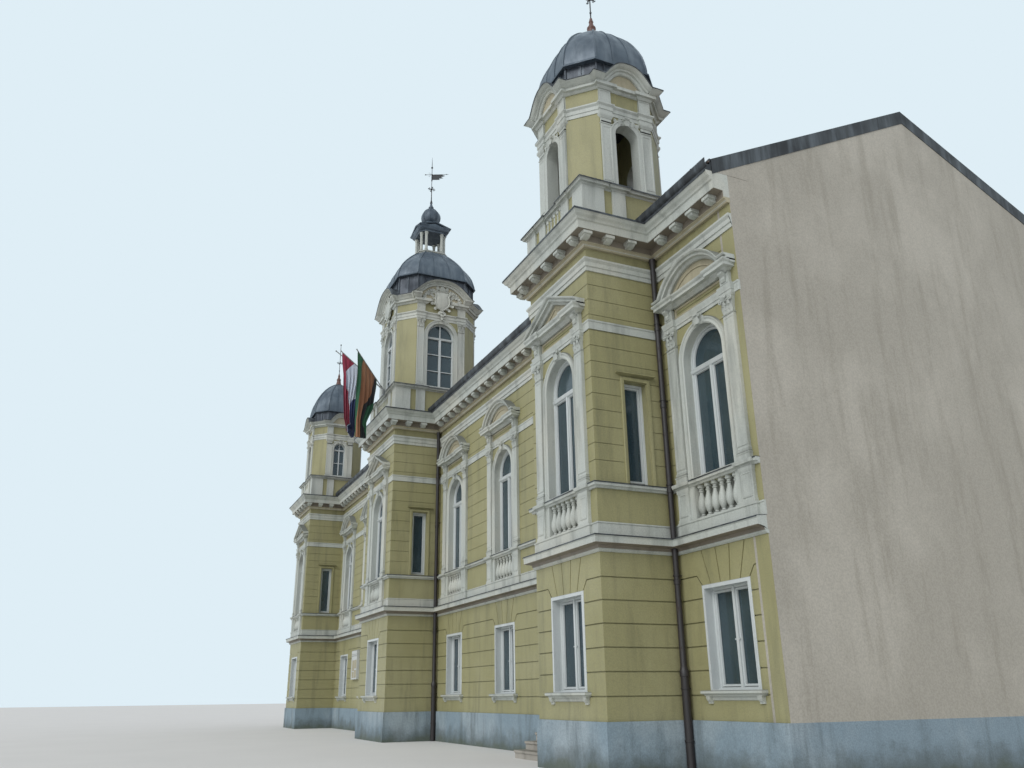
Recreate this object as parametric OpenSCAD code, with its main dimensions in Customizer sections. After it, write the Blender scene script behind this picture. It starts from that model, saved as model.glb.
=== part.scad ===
// Town hall with three belfry pavilions, two storeys on a plinth, between plain party walls.
// The street front faces -Y, +Z is up, and the origin is at the middle of the footprint.

/* [Plan] */
// Spacing of the three window bays in a wing
bay_spacing = 3800; // [3100:10:4600]
// Wall left between a pavilion and the next pediment of a wing
wing_margin = 417.5; // [300:2.5:600]
// Wall left beside the pediment on a side pavilion
side_margin = 130; // [100:5:200]
// Wall left beside the pediment on the centre pavilion
centre_margin = 425; // [330:5:520]
// Room for a rainwater pipe between a side pavilion and the end bay's pediment
pipe_room = 175; // [165:5:260]
// Wall left between the end bay's pediment and the party line
party_margin = 35; // [20:5:80]
// How far the pavilions stand in front of the wings
projection = 1650; // [1400:10:2000]
// Depth of the building behind the wings' front
body_depth = 10400; // [8600:10:12600]
// Thickness of the front and back walls
wall_t = 500; // [400:10:600]
// Thickness of the party walls
party_wall_t = 380; // [300:10:460]

/* [Levels] */
// Height of the plinth
plinth_h = 850; // [700:10:1020]
// Height of the banded ground storey above the plinth
ground_h = 2900; // [2700:10:3500]
// Height of the belt course
belt_h = 245; // [200:5:300]
// Height of the breast zone from the belt course to the top of the sills
breast_h = 970; // [800:10:1170]
// Height of the wall left above the pediments
over_pediment_h = 135; // [100:5:260]
// Height of the architrave
architrave_h = 280; // [230:5:340]
// Height of the plain frieze
frieze_h = 230; // [190:5:280]
// Height of the main cornice
cornice_h = 600; // [500:5:720]
// Height of the blind parapets that carry the towers
parapet_h = 1050; // [880:10:1260]
// Thickness of the floors
floor_t = 250; // [200:10:300]

/* [Stonework] */
// Height of one banded course in the ground storey
course_h = 400; // [340:5:480]
// Width of the joints between the courses
joint_w = 24; // [16:1:32]
// Depth of the joints between the courses
joint_d = 24; // [16:1:32]
// Reach of the slanted joints beside the head of a ground storey window
joint_ear = 180; // [140:5:220]
// Height of one course in the upper wall
upper_course_h = 331; // [280:1:400]
// Width and depth of the joints in the upper wall
fine_joint = 14; // [10:1:20]
// How far the plinth stands in front of the wall
plinth_proj = 40; // [20:5:70]
// How far the belt course stands in front of the wall
belt_proj = 205; // [150:5:260]
// How far the sill course stands in front of the wall
sill_proj = 100; // [85:5:140]
// How far the main cornice stands in front of the wall
cornice_proj = 490; // [420:5:600]

/* [Windows] */
// Width of the windows
window_w = 1200; // [1000:10:1440]
// Height of a ground storey window
ground_window_h = 1690; // [1400:10:2000]
// Height of the ground storey sills above the plinth
ground_sill_h = 480; // [400:10:560]
// Height of an upper window to the top of its arch
upper_window_h = 2865; // [2380:5:3440]
// Depth of the reveals in front of the frames
reveal = 150; // [100:5:200]
// Width of the frame bars
frame_w = 62; // [45:1:80]
// Thickness of the frames
frame_t = 60; // [45:1:70]
// Thickness of the glass
glass_t = 8; // [5:1:12]
// Width of the pilasters beside the upper windows
pilaster_w = 330; // [270:5:390]
// Wall left between an upper window and a pilaster
pilaster_gap = 135; // [130:5:200]
// Height of a capital
capital_h = 350; // [280:5:420]
// Height from the top of an upper window to the top of the capitals
capital_rise = 185; // [150:5:230]
// Height of the blocks between the capitals and the pediment
block_h = 445; // [370:5:530]
// Height of a pediment's level cornice
pediment_base_h = 190; // [150:5:230]
// Rise of a pediment above its level cornice
pediment_rise = 520; // [430:5:620]
// How far a pediment reaches beyond its pilasters
pediment_ear = 110; // [80:5:130]
// How far a pediment stands in front of the wall
pediment_proj = 280; // [230:5:340]
// How far the pilasters stand in front of the wall
pilaster_proj = 80; // [60:5:95]
// Width of the narrow windows in the sides of the pavilions
side_window_w = 500; // [400:10:600]
// Height of the narrow windows
side_window_h = 2050; // [1700:10:2400]
// Distance from a wing's front to the axis of a narrow window
side_window_back = 675; // [600:5:720]

/* [Entrance] */
// Width of the entrance
door_w = 1300; // [1100:10:1500]
// Height of the entrance
door_h = 2170; // [2050:10:2500]
// Depth of one tread of the entrance steps
tread = 260; // [240:5:300]

/* [Notice board] */
// Width of the notice board
notice_w = 900; // [600:10:1000]
// Height of the notice board
notice_h = 1160; // [800:10:1300]
// Wall left between a window sill and the notice board
notice_gap = 280; // [150:10:360]

/* [Towers] */
// How far a side tower stands in from its parapet's sides
side_tower_in = 95; // [60:5:120]
// Cut of a side tower's corners, along each face
side_tower_cut = 540; // [450:5:600]
// How far the centre tower stands in from its parapet's sides
centre_tower_in = 100; // [70:5:130]
// Distance from a pavilion's front to a side tower's front
side_tower_back = 30; // [20:5:60]
// Distance from the centre pavilion's front to its tower's front
centre_tower_back = 120; // [100:5:150]
// Cut of the centre tower's corners, along each face
centre_tower_cut = 570; // [480:5:650]
// Height of a tower wall below its openings
tower_sill_h = 100; // [80:5:160]
// Height of a side tower's wall above its openings
side_head_h = 160; // [120:5:220]
// Height of the centre tower's wall above its windows
centre_head_h = 100; // [80:5:160]
// Thickness of the tower walls
tower_wall_t = 250; // [200:5:300]
// Width of the openings in the side towers
side_opening_w = 600; // [500:10:720]
// Width of the windows in the centre tower
centre_opening_w = 1040; // [860:10:1250]
// Height of the openings in the side towers to the top of the arch
side_opening_h = 1690; // [1400:10:2030]
// Height of the windows in the centre tower to the top of the arch
centre_opening_h = 2490; // [2070:10:2990]
// Height of a tower's architrave, frieze and cornice
tower_entablature_h = 920; // [800:10:1100]
// How far a tower's cornice stands in front of its wall
tower_cornice_proj = 260; // [200:5:310]
// Height of the upright skirt below a side dome
side_skirt_h = 610; // [510:10:730]
// Height of the upright skirt below the centre dome
centre_skirt_h = 920; // [780:10:1100]
// Height of a side dome above its skirt
side_dome_h = 1820; // [1550:10:2180]
// Height of the centre dome above its skirt
centre_dome_h = 1470; // [1250:10:1760]
// Thickness of the dome shells
dome_t = 90; // [70:5:110]
// Height of the lantern's columns
lantern_h = 830; // [700:10:990]
// Half the width of the lantern
lantern_a = 560; // [500:5:600]
// Height of the onion roof of the lantern
onion_h = 1000; // [850:10:1200]
// Height of the iron spire above the onion roof
spire_h = 2200; // [1900:10:2600]

/* [Roof] */
// Rise of the main roof for each 1000 mm of run
roof_rise = 509; // [440:1:600]
// Thickness of the roof
roof_t = 180; // [140:5:220]
// Height of the dark gutter in front of the roof's edge
gutter_h = 270; // [220:5:320]
// Depth of the gutter
gutter_d = 150; // [120:5:180]
// Diameter of the rainwater pipes
pipe_d = 100; // [80:2:120]
// Diameter of the cast lower ends of the rainwater pipes
pipe_foot_d = 140; // [120:2:160]
// Height of the cast lower ends above the ground
pipe_foot_h = 1750; // [1400:10:2100]

/* [Flags and vane] */
// Length of the right flagpole
right_pole_l = 1810; // [1500:10:2170]
// Length of the middle flagpole
middle_pole_l = 2060; // [1710:10:2480]
// Length of the left flagpole
left_pole_l = 2240; // [1860:10:2690]
// Diameter of the flagpoles
pole_d = 36; // [30:1:44]
// Lean of the flagpoles from upright
pole_lean = 52; // [45:1:60]
// Turn of the right flagpole from straight ahead
right_pole_turn = 31; // [28:1:40]
// Turn of the left flagpole from straight ahead
left_pole_turn = 11; // [9:1:20]
// Height of the flagpoles' holder on the parapet
holder_h = 300; // [240:10:360]
// Height of the right flag from its pole's tip
right_flag_h = 3180; // [2650:10:3500]
// Height of the left flag from its pole's tip
left_flag_h = 3200; // [2650:10:3500]
// Depth of a hanging flag's folds
flag_t = 150; // [120:5:180]
// Clearance between a flag's top edge and its pole
flag_gap = 0.4; // [0.3:0.1:0.8]
// Length of the weather vane's banner
vane_l = 520; // [440:5:600]
// Height of the weather vane's banner
vane_h = 300; // [250:5:360]
// Angle of the weather vane from the street line
vane_turn = 65; // [0:5:90]
// Running clearance of the vane around its spindle
vane_gap = 2; // [1:0.5:4]
// Clearance between the vane's sleeve and the collar that carries it
vane_seat = 0.3; // [0.2:0.1:0.6]

/* [Hidden] */

$fn = 48;

// Plan positions, half values measured from the centre pavilion's axis
pilaster_offset = window_w / 2 + pilaster_gap + pilaster_w / 2;
pediment_half = pilaster_offset + pilaster_w / 2 + pediment_ear;
side_half = pediment_half + side_margin;
centre_half = pediment_half + centre_margin;
pavilion_spacing = centre_half + 2 * (pediment_half + wing_margin + bay_spacing) + side_half;
side_outer = pavilion_spacing + side_half;
side_inner = pavilion_spacing - side_half;
end_window_x = side_outer + pipe_room + pediment_half;
party_x = end_window_x + pediment_half + party_margin;
back_y = projection + body_depth;
wing_mid = (side_inner + centre_half) / 2;
door_x = wing_mid + bay_spacing;
sill_ear = 190;
notice_x = -wing_mid - window_w / 2 - sill_ear - notice_gap - notice_w / 2;

// Levels above the ground
z_plinth = plinth_h;
z_belt = z_plinth + ground_h;
z_base = z_belt + belt_h;
z_sill = z_base + breast_h;
z_upper_window = z_sill + 35;
z_upper_head = z_upper_window + upper_window_h;
z_capital_top = z_upper_head + capital_rise;
z_capital = z_capital_top - capital_h;
z_pediment = z_capital_top + block_h;
z_tympanum = z_pediment + pediment_base_h;
z_architrave = z_tympanum + pediment_rise + over_pediment_h;
z_frieze = z_architrave + architrave_h;
z_cornice = z_frieze + frieze_h;
z_eaves = z_cornice + cornice_h;
z_parapet = z_eaves + parapet_h;

// Towers, measured for a side tower and for the centre tower
side_tower_a = side_half - side_tower_in;
centre_tower_a = centre_half - centre_tower_in;
side_tower_y = side_tower_back + side_tower_a;
centre_tower_y = centre_tower_back + centre_tower_a;
side_drum_h = tower_sill_h + side_opening_h + side_head_h;
centre_drum_h = tower_sill_h + centre_opening_h + centre_head_h;
z_side_top = z_parapet + side_drum_h + tower_entablature_h;
z_centre_top = z_parapet + centre_drum_h + tower_entablature_h;
z_side_dome = z_side_top + side_skirt_h;
z_centre_dome = z_centre_top + centre_skirt_h;
z_lantern = z_centre_dome + centre_dome_h;
lantern_base_h = 120;
lantern_eaves_h = 650;
z_lantern_roof = z_lantern + lantern_base_h + lantern_h;
z_onion_top = z_lantern_roof + lantern_eaves_h + onion_h;
z_top = z_onion_top + spire_h;
dome_inset = 20;
skirt_inset = 40;
finial_h = 2330;

// Roof line, from the eaves at the gutter's back
gutter_y = projection - cornice_proj;
eaves_y = gutter_y + gutter_d;
back_eave_y = back_y + 250;
ridge_y = (eaves_y + back_eave_y) / 2;
z_ridge = z_eaves + (ridge_y - eaves_y) * roof_rise / 1000;
side_pedestal_back = side_tower_y + side_half;
centre_pedestal_back = centre_tower_y + centre_half;
cap_h = 110;
cap_proj = 150;
cap_end_y = eaves_y + (parapet_h - cap_h - roof_t) * 1000 / roof_rise - 20;
inner_x = party_x - party_wall_t;
wall_back_y = projection + wall_t;

// Windows
window_x = [for (s = [-1, 1], k = [-1, 0, 1]) s * wing_mid + k * bay_spacing];
wing_windows = concat([-end_window_x], window_x, [end_window_x]);
front_ground_windows = [for (x = wing_windows) if (abs(x - door_x) > 1) x];
pavilion_windows = [-pavilion_spacing, 0, pavilion_spacing];
z_ground_window = z_plinth + ground_sill_h;
z_ground_head = z_ground_window + ground_window_h;
fan_joint = ceil((z_ground_head + 60 - z_plinth) / course_h);
z_upper_spring = z_upper_head - window_w / 2;
z_transom = z_upper_spring - 155;
side_window_y = projection - side_window_back;
surround_w = 120;
surround_t = 45;
back_window_count = 8;
back_window_x = [for (k = [0:back_window_count - 1])
    (k - (back_window_count - 1) / 2) * 2 * (party_x - party_wall_t) / back_window_count];

// The flagpoles as [length, turn], right, middle and left, from one foot on the centre parapet
poles = [[right_pole_l, right_pole_turn], [middle_pole_l, 0], [left_pole_l, -left_pole_turn]];
pole_foot_y = -40;
pole_foot_z = z_parapet + holder_h;
ball_r = 40;
function pole_front(p) = pole_foot_y - p[0] * sin(pole_lean) * cos(p[1]) - ball_r;

// The whole object is centred between its foremost and hindmost points
front_extent = min([for (p = poles) pole_front(p)]);
back_extent = back_eave_y + gutter_d;
y_shift = -(front_extent + back_extent) / 2;

// Points of the street front, moved outwards by d
function front_path(d) = [
    [-party_x, projection - d], [-side_outer - d, projection - d],
    [-side_outer - d, -d], [-side_inner + d, -d],
    [-side_inner + d, projection - d], [-centre_half - d, projection - d],
    [-centre_half - d, -d], [centre_half + d, -d],
    [centre_half + d, projection - d], [side_inner - d, projection - d],
    [side_inner - d, -d], [side_outer + d, -d],
    [side_outer + d, projection - d], [party_x, projection - d]
];

// Underside of the roof at a distance from the front
function roof_z(y) = z_eaves + (min(y, 2 * ridge_y - y) - eaves_y) * roof_rise / 1000;

// Outline of the rooms, inside the walls
inner_outline = concat(
    [[-inner_x, wall_back_y]],
    [for (i = [1:12]) front_path(-wall_t)[i]],
    [[inner_x, wall_back_y], [inner_x, back_y - wall_t], [-inner_x, back_y - wall_t]]
);

function reversed(list) = [for (i = [len(list) - 1:-1:0]) list[i]];

// Corners of a square with cut corners, moved outwards by d
function cut_square(a, cut, d) = let (
        h = a + d,
        f = a - cut + d * (sqrt(2) - 1)
    ) [[-f, -h], [f, -h], [h, -f], [h, f], [f, h], [-f, h], [-h, f], [-h, -f]];

// A moulding swept along the street front, from its profile of [projection, level]
module front_moulding(profile) {
    rings = [for (p = profile) [for (q = front_path(p[0])) [q[0], q[1], p[1]]]];
    n = len(profile);
    m = len(rings[0]);
    points = [for (i = [0:m - 1], j = [0:n - 1]) rings[j][i]];
    faces = concat(
        [[for (j = [n - 1:-1:0]) j]],
        [[for (j = [0:n - 1]) (m - 1) * n + j]],
        [for (i = [0:m - 2], j = [0:n - 1])
            [i * n + j, i * n + (j + 1) % n, (i + 1) * n + (j + 1) % n, (i + 1) * n + j]]
    );
    polyhedron(points, faces, convexity = 8);
}

// A plain band along the street front, between two projections and two levels
module front_band(d0, d1, z0, z1) {
    translate([0, 0, z0])
        linear_extrude(z1 - z0)
            polygon(concat(front_path(d1), reversed(front_path(d0))));
}

// One section of a tower, moved outwards by d
function section(a, cut, d, z) = [a + d, cut + d * (2 - sqrt(2)), z];

// A solid of stacked cut squares, from [half width, cut, level]
module tower_stack(sections) {
    n = len(sections);
    points = [for (s = sections) each [for (q = cut_square(s[0], s[1], 0)) [q[0], q[1], s[2]]]];
    faces = concat(
        [[for (i = [0:7]) i]],
        [[for (i = [7:-1:0]) (n - 1) * 8 + i]],
        [for (k = [0:n - 2], i = [0:7])
            [k * 8 + i, (k + 1) * 8 + i, (k + 1) * 8 + (i + 1) % 8, k * 8 + (i + 1) % 8]]
    );
    polyhedron(points, faces, convexity = 4);
}

// Turns an outline drawn in X and Z into a plate that reaches from y to y - t
module plate(t, y = 0) {
    translate([0, y, 0])
        rotate([90, 0, 0])
            linear_extrude(t)
                children();
}

module box(x0, x1, y0, y1, z0, z1) {
    translate([x0, y0, z0])
        cube([x1 - x0, y1 - y0, z1 - z0]);
}

module arched(w, z0, z_spring) {
    translate([-w / 2, z0])
        square([w, z_spring - z0]);
    translate([0, z_spring])
        circle(d = w);
}

module ground_opening() {
    translate([-window_w / 2, z_ground_window])
        square([window_w, ground_window_h]);
}

module upper_opening() {
    arched(window_w, z_upper_window, z_upper_spring);
}

// The joints of the banded ground storey and of the upper wall, above windows at xs in a face at y
module wall_joints(xs, y) {
    for (k = [1:floor(ground_h / course_h - 0.6)])
        difference() {
            front_band(-joint_d, 5, z_plinth + k * course_h - joint_w / 2, z_plinth + k * course_h + joint_w / 2);
            if (k >= fan_joint)
                for (x = xs)
                    box(x - window_w / 2 - joint_ear, x + window_w / 2 + joint_ear, y - 10, y + joint_d + 10,
                        z_plinth + k * course_h - joint_w, z_plinth + k * course_h + joint_w);
        }
    for (k = [1:floor((z_architrave - z_sill) / upper_course_h - 0.4)])
        front_band(-fine_joint, 5, z_sill + 100 + k * upper_course_h - fine_joint / 2,
            z_sill + 100 + k * upper_course_h + fine_joint / 2);
}

// A joint from a point of the wall's face that leans by an angle from upright; lead starts it before that point
module slanted_joint(x, z, angle, length, lead = 0) {
    translate([x, 0, z])
        rotate([0, angle, 0])
            translate([-joint_w / 2, -5, -lead])
                cube([joint_w, joint_d, length + lead]);
}

// The joints that fan out above a ground storey window, and the two that meet the first course above it
module fan_joints() {
    for (a = [-18, -6, 6, 18])
        slanted_joint(window_w * tan(a), z_ground_head + 20, a, z_belt - z_ground_head + 60);
    rise = z_plinth + fan_joint * course_h - z_ground_head;
    for (s = [-1, 1])
        slanted_joint(s * window_w / 2, z_ground_head, s * atan2(joint_ear, rise),
            sqrt(pow(joint_ear, 2) + pow(rise, 2)), joint_w);
}

module wall_cuts(xs, y) {
    for (x = xs)
        translate([x, y, 0]) {
            plate(wall_t + 20, wall_t + 10)
                ground_opening();
            plate(wall_t + 20, wall_t + 10)
                upper_opening();
            fan_joints();
            box(-window_w / 2, window_w / 2, -10, wall_t / 2, z_base + 240, z_sill - 110);
        }
}

module front_wall(x0, x1, y, xs) {
    color("#a9a464")
    difference() {
        box(x0, x1, y, y + wall_t, z_plinth, z_eaves);
        wall_cuts(xs, y);
        wall_joints(xs, y);
    }
}

module right_end_wall() {
    front_wall(side_outer, inner_x, projection, [end_window_x]);
}

module left_end_wall() {
    front_wall(-inner_x, -side_outer, projection, [-end_window_x]);
}

module right_wing_wall() {
    difference() {
        front_wall(centre_half, side_inner, projection, [for (k = [-1, 0, 1]) wing_mid + k * bay_spacing]);
        box(door_x - door_w / 2, door_x + door_w / 2, projection - 10, wall_back_y + 10,
            z_plinth - 10, z_plinth + door_h);
    }
}

module left_wing_wall() {
    front_wall(-side_inner, -centre_half, projection, [for (k = [-1, 0, 1]) -wing_mid + k * bay_spacing]);
}

// Outer faces of the pavilions' sides, as [x, outward direction]
pavilion_sides = [
    [-side_outer, -1], [-side_inner, 1], [-centre_half, -1],
    [centre_half, 1], [side_inner, -1], [side_outer, 1]
];

module side_opening() {
    translate([-side_window_w / 2, z_upper_window])
        square([side_window_w, side_window_h]);
}

// Puts a piece drawn on a front face at y = 0 onto the side of a pavilion
module on_side(side) {
    translate([side[0], side_window_y, 0])
        rotate([0, 0, 90 * side[1]])
            children();
}

// A pavilion's front and its two sides, which reach back to the wing walls' inner face
module pavilion(x, w) {
    color("#aaa565")
    difference() {
        union() {
            box(x - w / 2, x + w / 2, 0, wall_t, z_plinth, z_eaves);
            for (s = [-1, 1])
                box(x + s * (w - wall_t) / 2 - wall_t / 2, x + s * (w - wall_t) / 2 + wall_t / 2,
                    wall_t, wall_back_y, z_plinth, z_eaves);
        }
        wall_cuts([x], 0);
        for (s = [-1, 1])
            on_side([x + s * w / 2, s])
                plate(wall_t + 20, wall_t + 10)
                    side_opening();
        wall_joints([x], 0);
    }
}

module right_pavilion() {
    pavilion(pavilion_spacing, 2 * side_half);
}

module centre_pavilion() {
    pavilion(0, 2 * centre_half);
}

module left_pavilion() {
    pavilion(-pavilion_spacing, 2 * side_half);
}

module plinth() {
    color("#a9adaa")
    difference() {
        linear_extrude(z_plinth)
            polygon(concat(front_path(plinth_proj),
                [[party_x, back_y + plinth_proj], [-party_x, back_y + plinth_proj]]));
        translate([0, 0, -10])
            linear_extrude(z_plinth + 20)
                polygon(inner_outline);
    }
}

module floor_plate(z_top_face) {
    color("#b9b2a4")
    translate([0, 0, z_top_face - floor_t])
        linear_extrude(floor_t)
            polygon(inner_outline);
}

module ground_floor() {
    floor_plate(z_plinth);
}

module upper_floor() {
    floor_plate(z_base);
}

module attic_floor() {
    floor_plate(z_frieze);
}

module back_wall() {
    color("#a9a464")
    difference() {
        box(-party_x + party_wall_t, party_x - party_wall_t, back_y - wall_t, back_y, z_plinth, z_eaves);
        for (x = back_window_x)
            translate([x, back_y, 0]) {
                plate(wall_t + 20, 10)
                    ground_opening();
                plate(wall_t + 20, 10)
                    upper_opening();
            }
        for (k = [1:floor(ground_h / course_h - 0.6)])
            box(-party_x, party_x, back_y - joint_d, back_y + 10,
                z_plinth + k * course_h - joint_w / 2, z_plinth + k * course_h + joint_w / 2);
    }
}

module party_walls() {
    color("#b3aa98")
    for (s = [-1, 1])
        translate([s > 0 ? inner_x : -party_x, 0, 0])
            rotate([90, 0, 90])
                linear_extrude(party_wall_t)
                    polygon([
                        [projection, z_plinth], [back_y, z_plinth], [back_y, z_eaves],
                        [back_y - wall_t, z_eaves], [back_y - wall_t, roof_z(back_y - wall_t)],
                        [ridge_y, z_ridge], [wall_back_y, roof_z(wall_back_y)],
                        [wall_back_y, z_eaves], [projection, z_eaves]
                    ]);
}

// Room for the rainwater pipes where they pass a course
module pipe_passages() {
    for (c = pipe_corners)
        translate([c[0] + c[1] * pipe_off, projection - pipe_off, z_belt - 50])
            cylinder(d = pipe_d + 6, h = z_frieze - z_belt + 100);
}

module belt_course() {
    color("#c9cac0")
    difference() {
        front_moulding([
            [0, z_belt], [60, z_belt], [70, z_belt + 50], [belt_proj - 15, z_belt + 80],
            [belt_proj - 10, z_belt + 180], [belt_proj, z_belt + 190], [belt_proj, z_belt + 215],
            [30, z_base], [0, z_base]
        ]);
        pipe_passages();
    }
}

module sill_course() {
    color("#c9cac0")
    difference() {
        front_moulding([
            [0, z_sill - 110], [40, z_sill - 110], [60, z_sill - 75], [sill_proj - 8, z_sill - 65],
            [sill_proj, z_sill - 20], [sill_proj - 10, z_sill], [0, z_sill]
        ]);
        pipe_passages();
    }
}

module main_cornice() {
    color("#cfcabc")
    front_moulding([
        [0, z_cornice], [60, z_cornice], [110, z_cornice + 70], [130, z_cornice + 80],
        [130, z_cornice + 230], [cornice_proj - 140, z_cornice + 240],
        [cornice_proj - 130, z_cornice + 400], [cornice_proj - 100, z_cornice + 420],
        [cornice_proj - 20, z_cornice + 540], [cornice_proj, z_cornice + 560],
        [cornice_proj, z_eaves], [0, z_eaves]
    ]);
}

module architrave() {
    color("#cfcabc")
    difference() {
        front_moulding([
            [0, z_architrave], [25, z_architrave], [25, z_architrave + 90], [45, z_architrave + 100],
            [45, z_architrave + 190], [80, z_architrave + 240], [80, z_frieze], [0, z_frieze]
        ]);
        pipe_passages();
    }
}

modillion_w = 150;
modillion_h = 130;
modillion_pitch = 520;

// Modillions along one straight run of the cornice, spread evenly between its ends
module modillion_run(length) {
    count = max(1, floor(length / modillion_pitch));
    for (k = [0:count - 1])
        translate([(k + 0.5 - count / 2) * length / count - modillion_w / 2, -cornice_proj + 160, z_cornice + 95])
            cube([modillion_w, cornice_proj - 160 - 130, modillion_h]);
}

module modillions() {
    color("#c9c2ae") {
        for (s = [-1, 1]) {
            translate([s * (side_outer + 350 + party_x) / 2, projection, 0])
                modillion_run(party_x - side_outer - 400);
            translate([s * wing_mid, projection, 0])
                modillion_run(side_inner - centre_half - 2 * 350);
            translate([s * pavilion_spacing, 0, 0])
                modillion_run(2 * side_half + 400);
        }
        modillion_run(2 * centre_half + 400);
        for (side = pavilion_sides)
            translate([side[0], (projection - 820) / 2, 0])
                rotate([0, 0, 90 * side[1]])
                    modillion_run(projection - 80);
    }
}

module main_roof() {
    color("#54504c")
    difference() {
        translate([-party_x, 0, 0])
            rotate([90, 0, 90])
                linear_extrude(2 * party_x)
                    polygon([
                        [eaves_y, z_eaves], [wall_back_y, z_eaves], [wall_back_y, roof_z(wall_back_y)],
                        [ridge_y, z_ridge], [back_y - wall_t, roof_z(back_y - wall_t)],
                        [back_y - wall_t, z_eaves], [back_eave_y, z_eaves],
                        [back_eave_y, z_eaves + roof_t], [ridge_y, z_ridge + roof_t],
                        [eaves_y, z_eaves + roof_t]
                    ]);
        for (s = [-1, 1])
            box(s * pavilion_spacing - side_half, s * pavilion_spacing + side_half,
                0, side_pedestal_back, z_eaves - 10, z_ridge + 500);
        box(-centre_half, centre_half, 0, centre_pedestal_back, z_eaves - 10, z_ridge + 500);
    }
}

module gutters() {
    color("#3f3f40") {
        for (s = [-1, 1]) {
            box(s > 0 ? centre_half : -side_inner, s > 0 ? side_inner : -centre_half,
                gutter_y, gutter_y + gutter_d, z_eaves, z_eaves + gutter_h);
            box(s > 0 ? side_outer : -party_x, s > 0 ? party_x : -side_outer,
                gutter_y, gutter_y + gutter_d, z_eaves, z_eaves + gutter_h);
        }
        box(-party_x, party_x, back_eave_y, back_eave_y + gutter_d, z_eaves, z_eaves + gutter_h);
    }
}

// Inner corners that have a rainwater pipe, as [x, direction away from the pavilion]
pipe_corners = [[-side_outer, -1], [-centre_half, -1], [centre_half, 1], [side_outer, 1]];
pipe_off = 112;

module rainwater_pipes() {
    color("#3b3230")
    for (c = pipe_corners)
        translate([c[0] + c[1] * pipe_off, projection - pipe_off, 0]) {
            cylinder(d = pipe_foot_d, h = pipe_foot_h);
            translate([0, 0, pipe_foot_h])
                cylinder(d = pipe_d, h = z_cornice - pipe_foot_h);
            for (z = [pipe_foot_h - 60, z_base + 300, z_sill + 2700])
                box(-15, 15, 0, pipe_off, z, z + 40);
        }
}

// A blind parapet that carries a tower, hollow below its top slab
module parapet(x, half, t, back) {
    difference() {
        union() {
            box(x - half, x + half, 0, back, z_eaves, z_parapet);
            box(x - half - cap_proj, x + half + cap_proj, -cap_proj, min(back + cap_proj, cap_end_y),
                z_parapet - cap_h, z_parapet);
        }
        box(x - half + t, x + half - t, t, back - t, z_eaves - 10, z_parapet - cap_h);
    }
}

module parapets() {
    color("#c4c39f") {
        for (s = [-1, 1])
            parapet(s * pavilion_spacing, side_half, side_tower_in + tower_wall_t, side_pedestal_back);
        parapet(0, centre_half, centre_tower_in + tower_wall_t, centre_pedestal_back);
    }
}

// A hollow tower with an arched opening between pilasters in each wide face
module tower(a, cut, drum_h, opening_w, opening_h, arc_rise) {
    z0 = z_parapet;
    z1 = z0 + drum_h;
    z2 = z1 + tower_entablature_h;
    strip_x = opening_w / 2 + 60;
    color("#b6b384")
    difference() {
        tower_stack([for (q = [
            [0, z0], [0, z1], [40, z1], [60, z1 + 120], [90, z1 + 200], [90, z1 + 250], [0, z1 + 250],
            [0, z2 - 300], [60, z2 - 300], [100, z2 - 220], [tower_cornice_proj - 60, z2 - 200],
            [tower_cornice_proj - 50, z2 - 110], [tower_cornice_proj, z2 - 30], [tower_cornice_proj, z2]
        ]) section(a, cut, q[0], q[1])]);
        tower_stack([for (z = [z0 - 10, z2 + 10]) section(a, cut, -tower_wall_t, z)]);
        for (turn = [0, 90])
            rotate([0, 0, turn])
                plate(2 * a + 20, a + 10)
                    arched(opening_w, z0 + tower_sill_h, z0 + tower_sill_h + opening_h - opening_w / 2);
    }
    color("#c9cac0")
    for (turn = [0:90:270])
        rotate([0, 0, turn]) {
            plate(tower_cornice_proj + skirt_inset, -a + skirt_inset)
                segment_outline(a - cut + 170, arc_rise, z2);
            for (s = [-1, 1])
                box(s * (strip_x + a - cut) / 2 - (a - cut - strip_x) / 2,
                    s * (strip_x + a - cut) / 2 + (a - cut - strip_x) / 2, -a - 38, -a + 10, z0, z1);
        }
}

module at_right_tower() {
    translate([pavilion_spacing, side_tower_y, 0])
        children();
}

module at_left_tower() {
    translate([-pavilion_spacing, side_tower_y, 0])
        children();
}

module at_centre_tower() {
    translate([0, centre_tower_y, 0])
        children();
}

module right_tower() {
    at_right_tower()
        tower(side_tower_a, side_tower_cut, side_drum_h, side_opening_w, side_opening_h, 430);
}

module left_tower() {
    at_left_tower()
        tower(side_tower_a, side_tower_cut, side_drum_h, side_opening_w, side_opening_h, 430);
}

module centre_tower() {
    at_centre_tower()
        tower(centre_tower_a, centre_tower_cut, centre_drum_h, centre_opening_w, centre_opening_h, 650);
}

// Shares of the height and of the half width on the way up each kind of dome
side_dome_line = [
    [0, 1], [0.12, 0.99], [0.3, 0.945], [0.48, 0.83], [0.65, 0.66], [0.76, 0.51], [0.86, 0.34], [0.94, 0.16], [1, 0]
];
centre_dome_line = [
    [0, 1], [0.12, 0.975], [0.29, 0.91], [0.47, 0.755], [0.63, 0.57], [0.8, 0.33], [0.91, 0.15], [1, 0]
];

// Half widths of a dome along such a line, from the skirt's top upwards
function dome_sections(line, a, cut, z0, h, top_a) = [
    for (p = line)
        let (half = top_a + (a - top_a) * p[1])
        [half, cut * half / a, z0 + h * p[0]]
];

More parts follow.
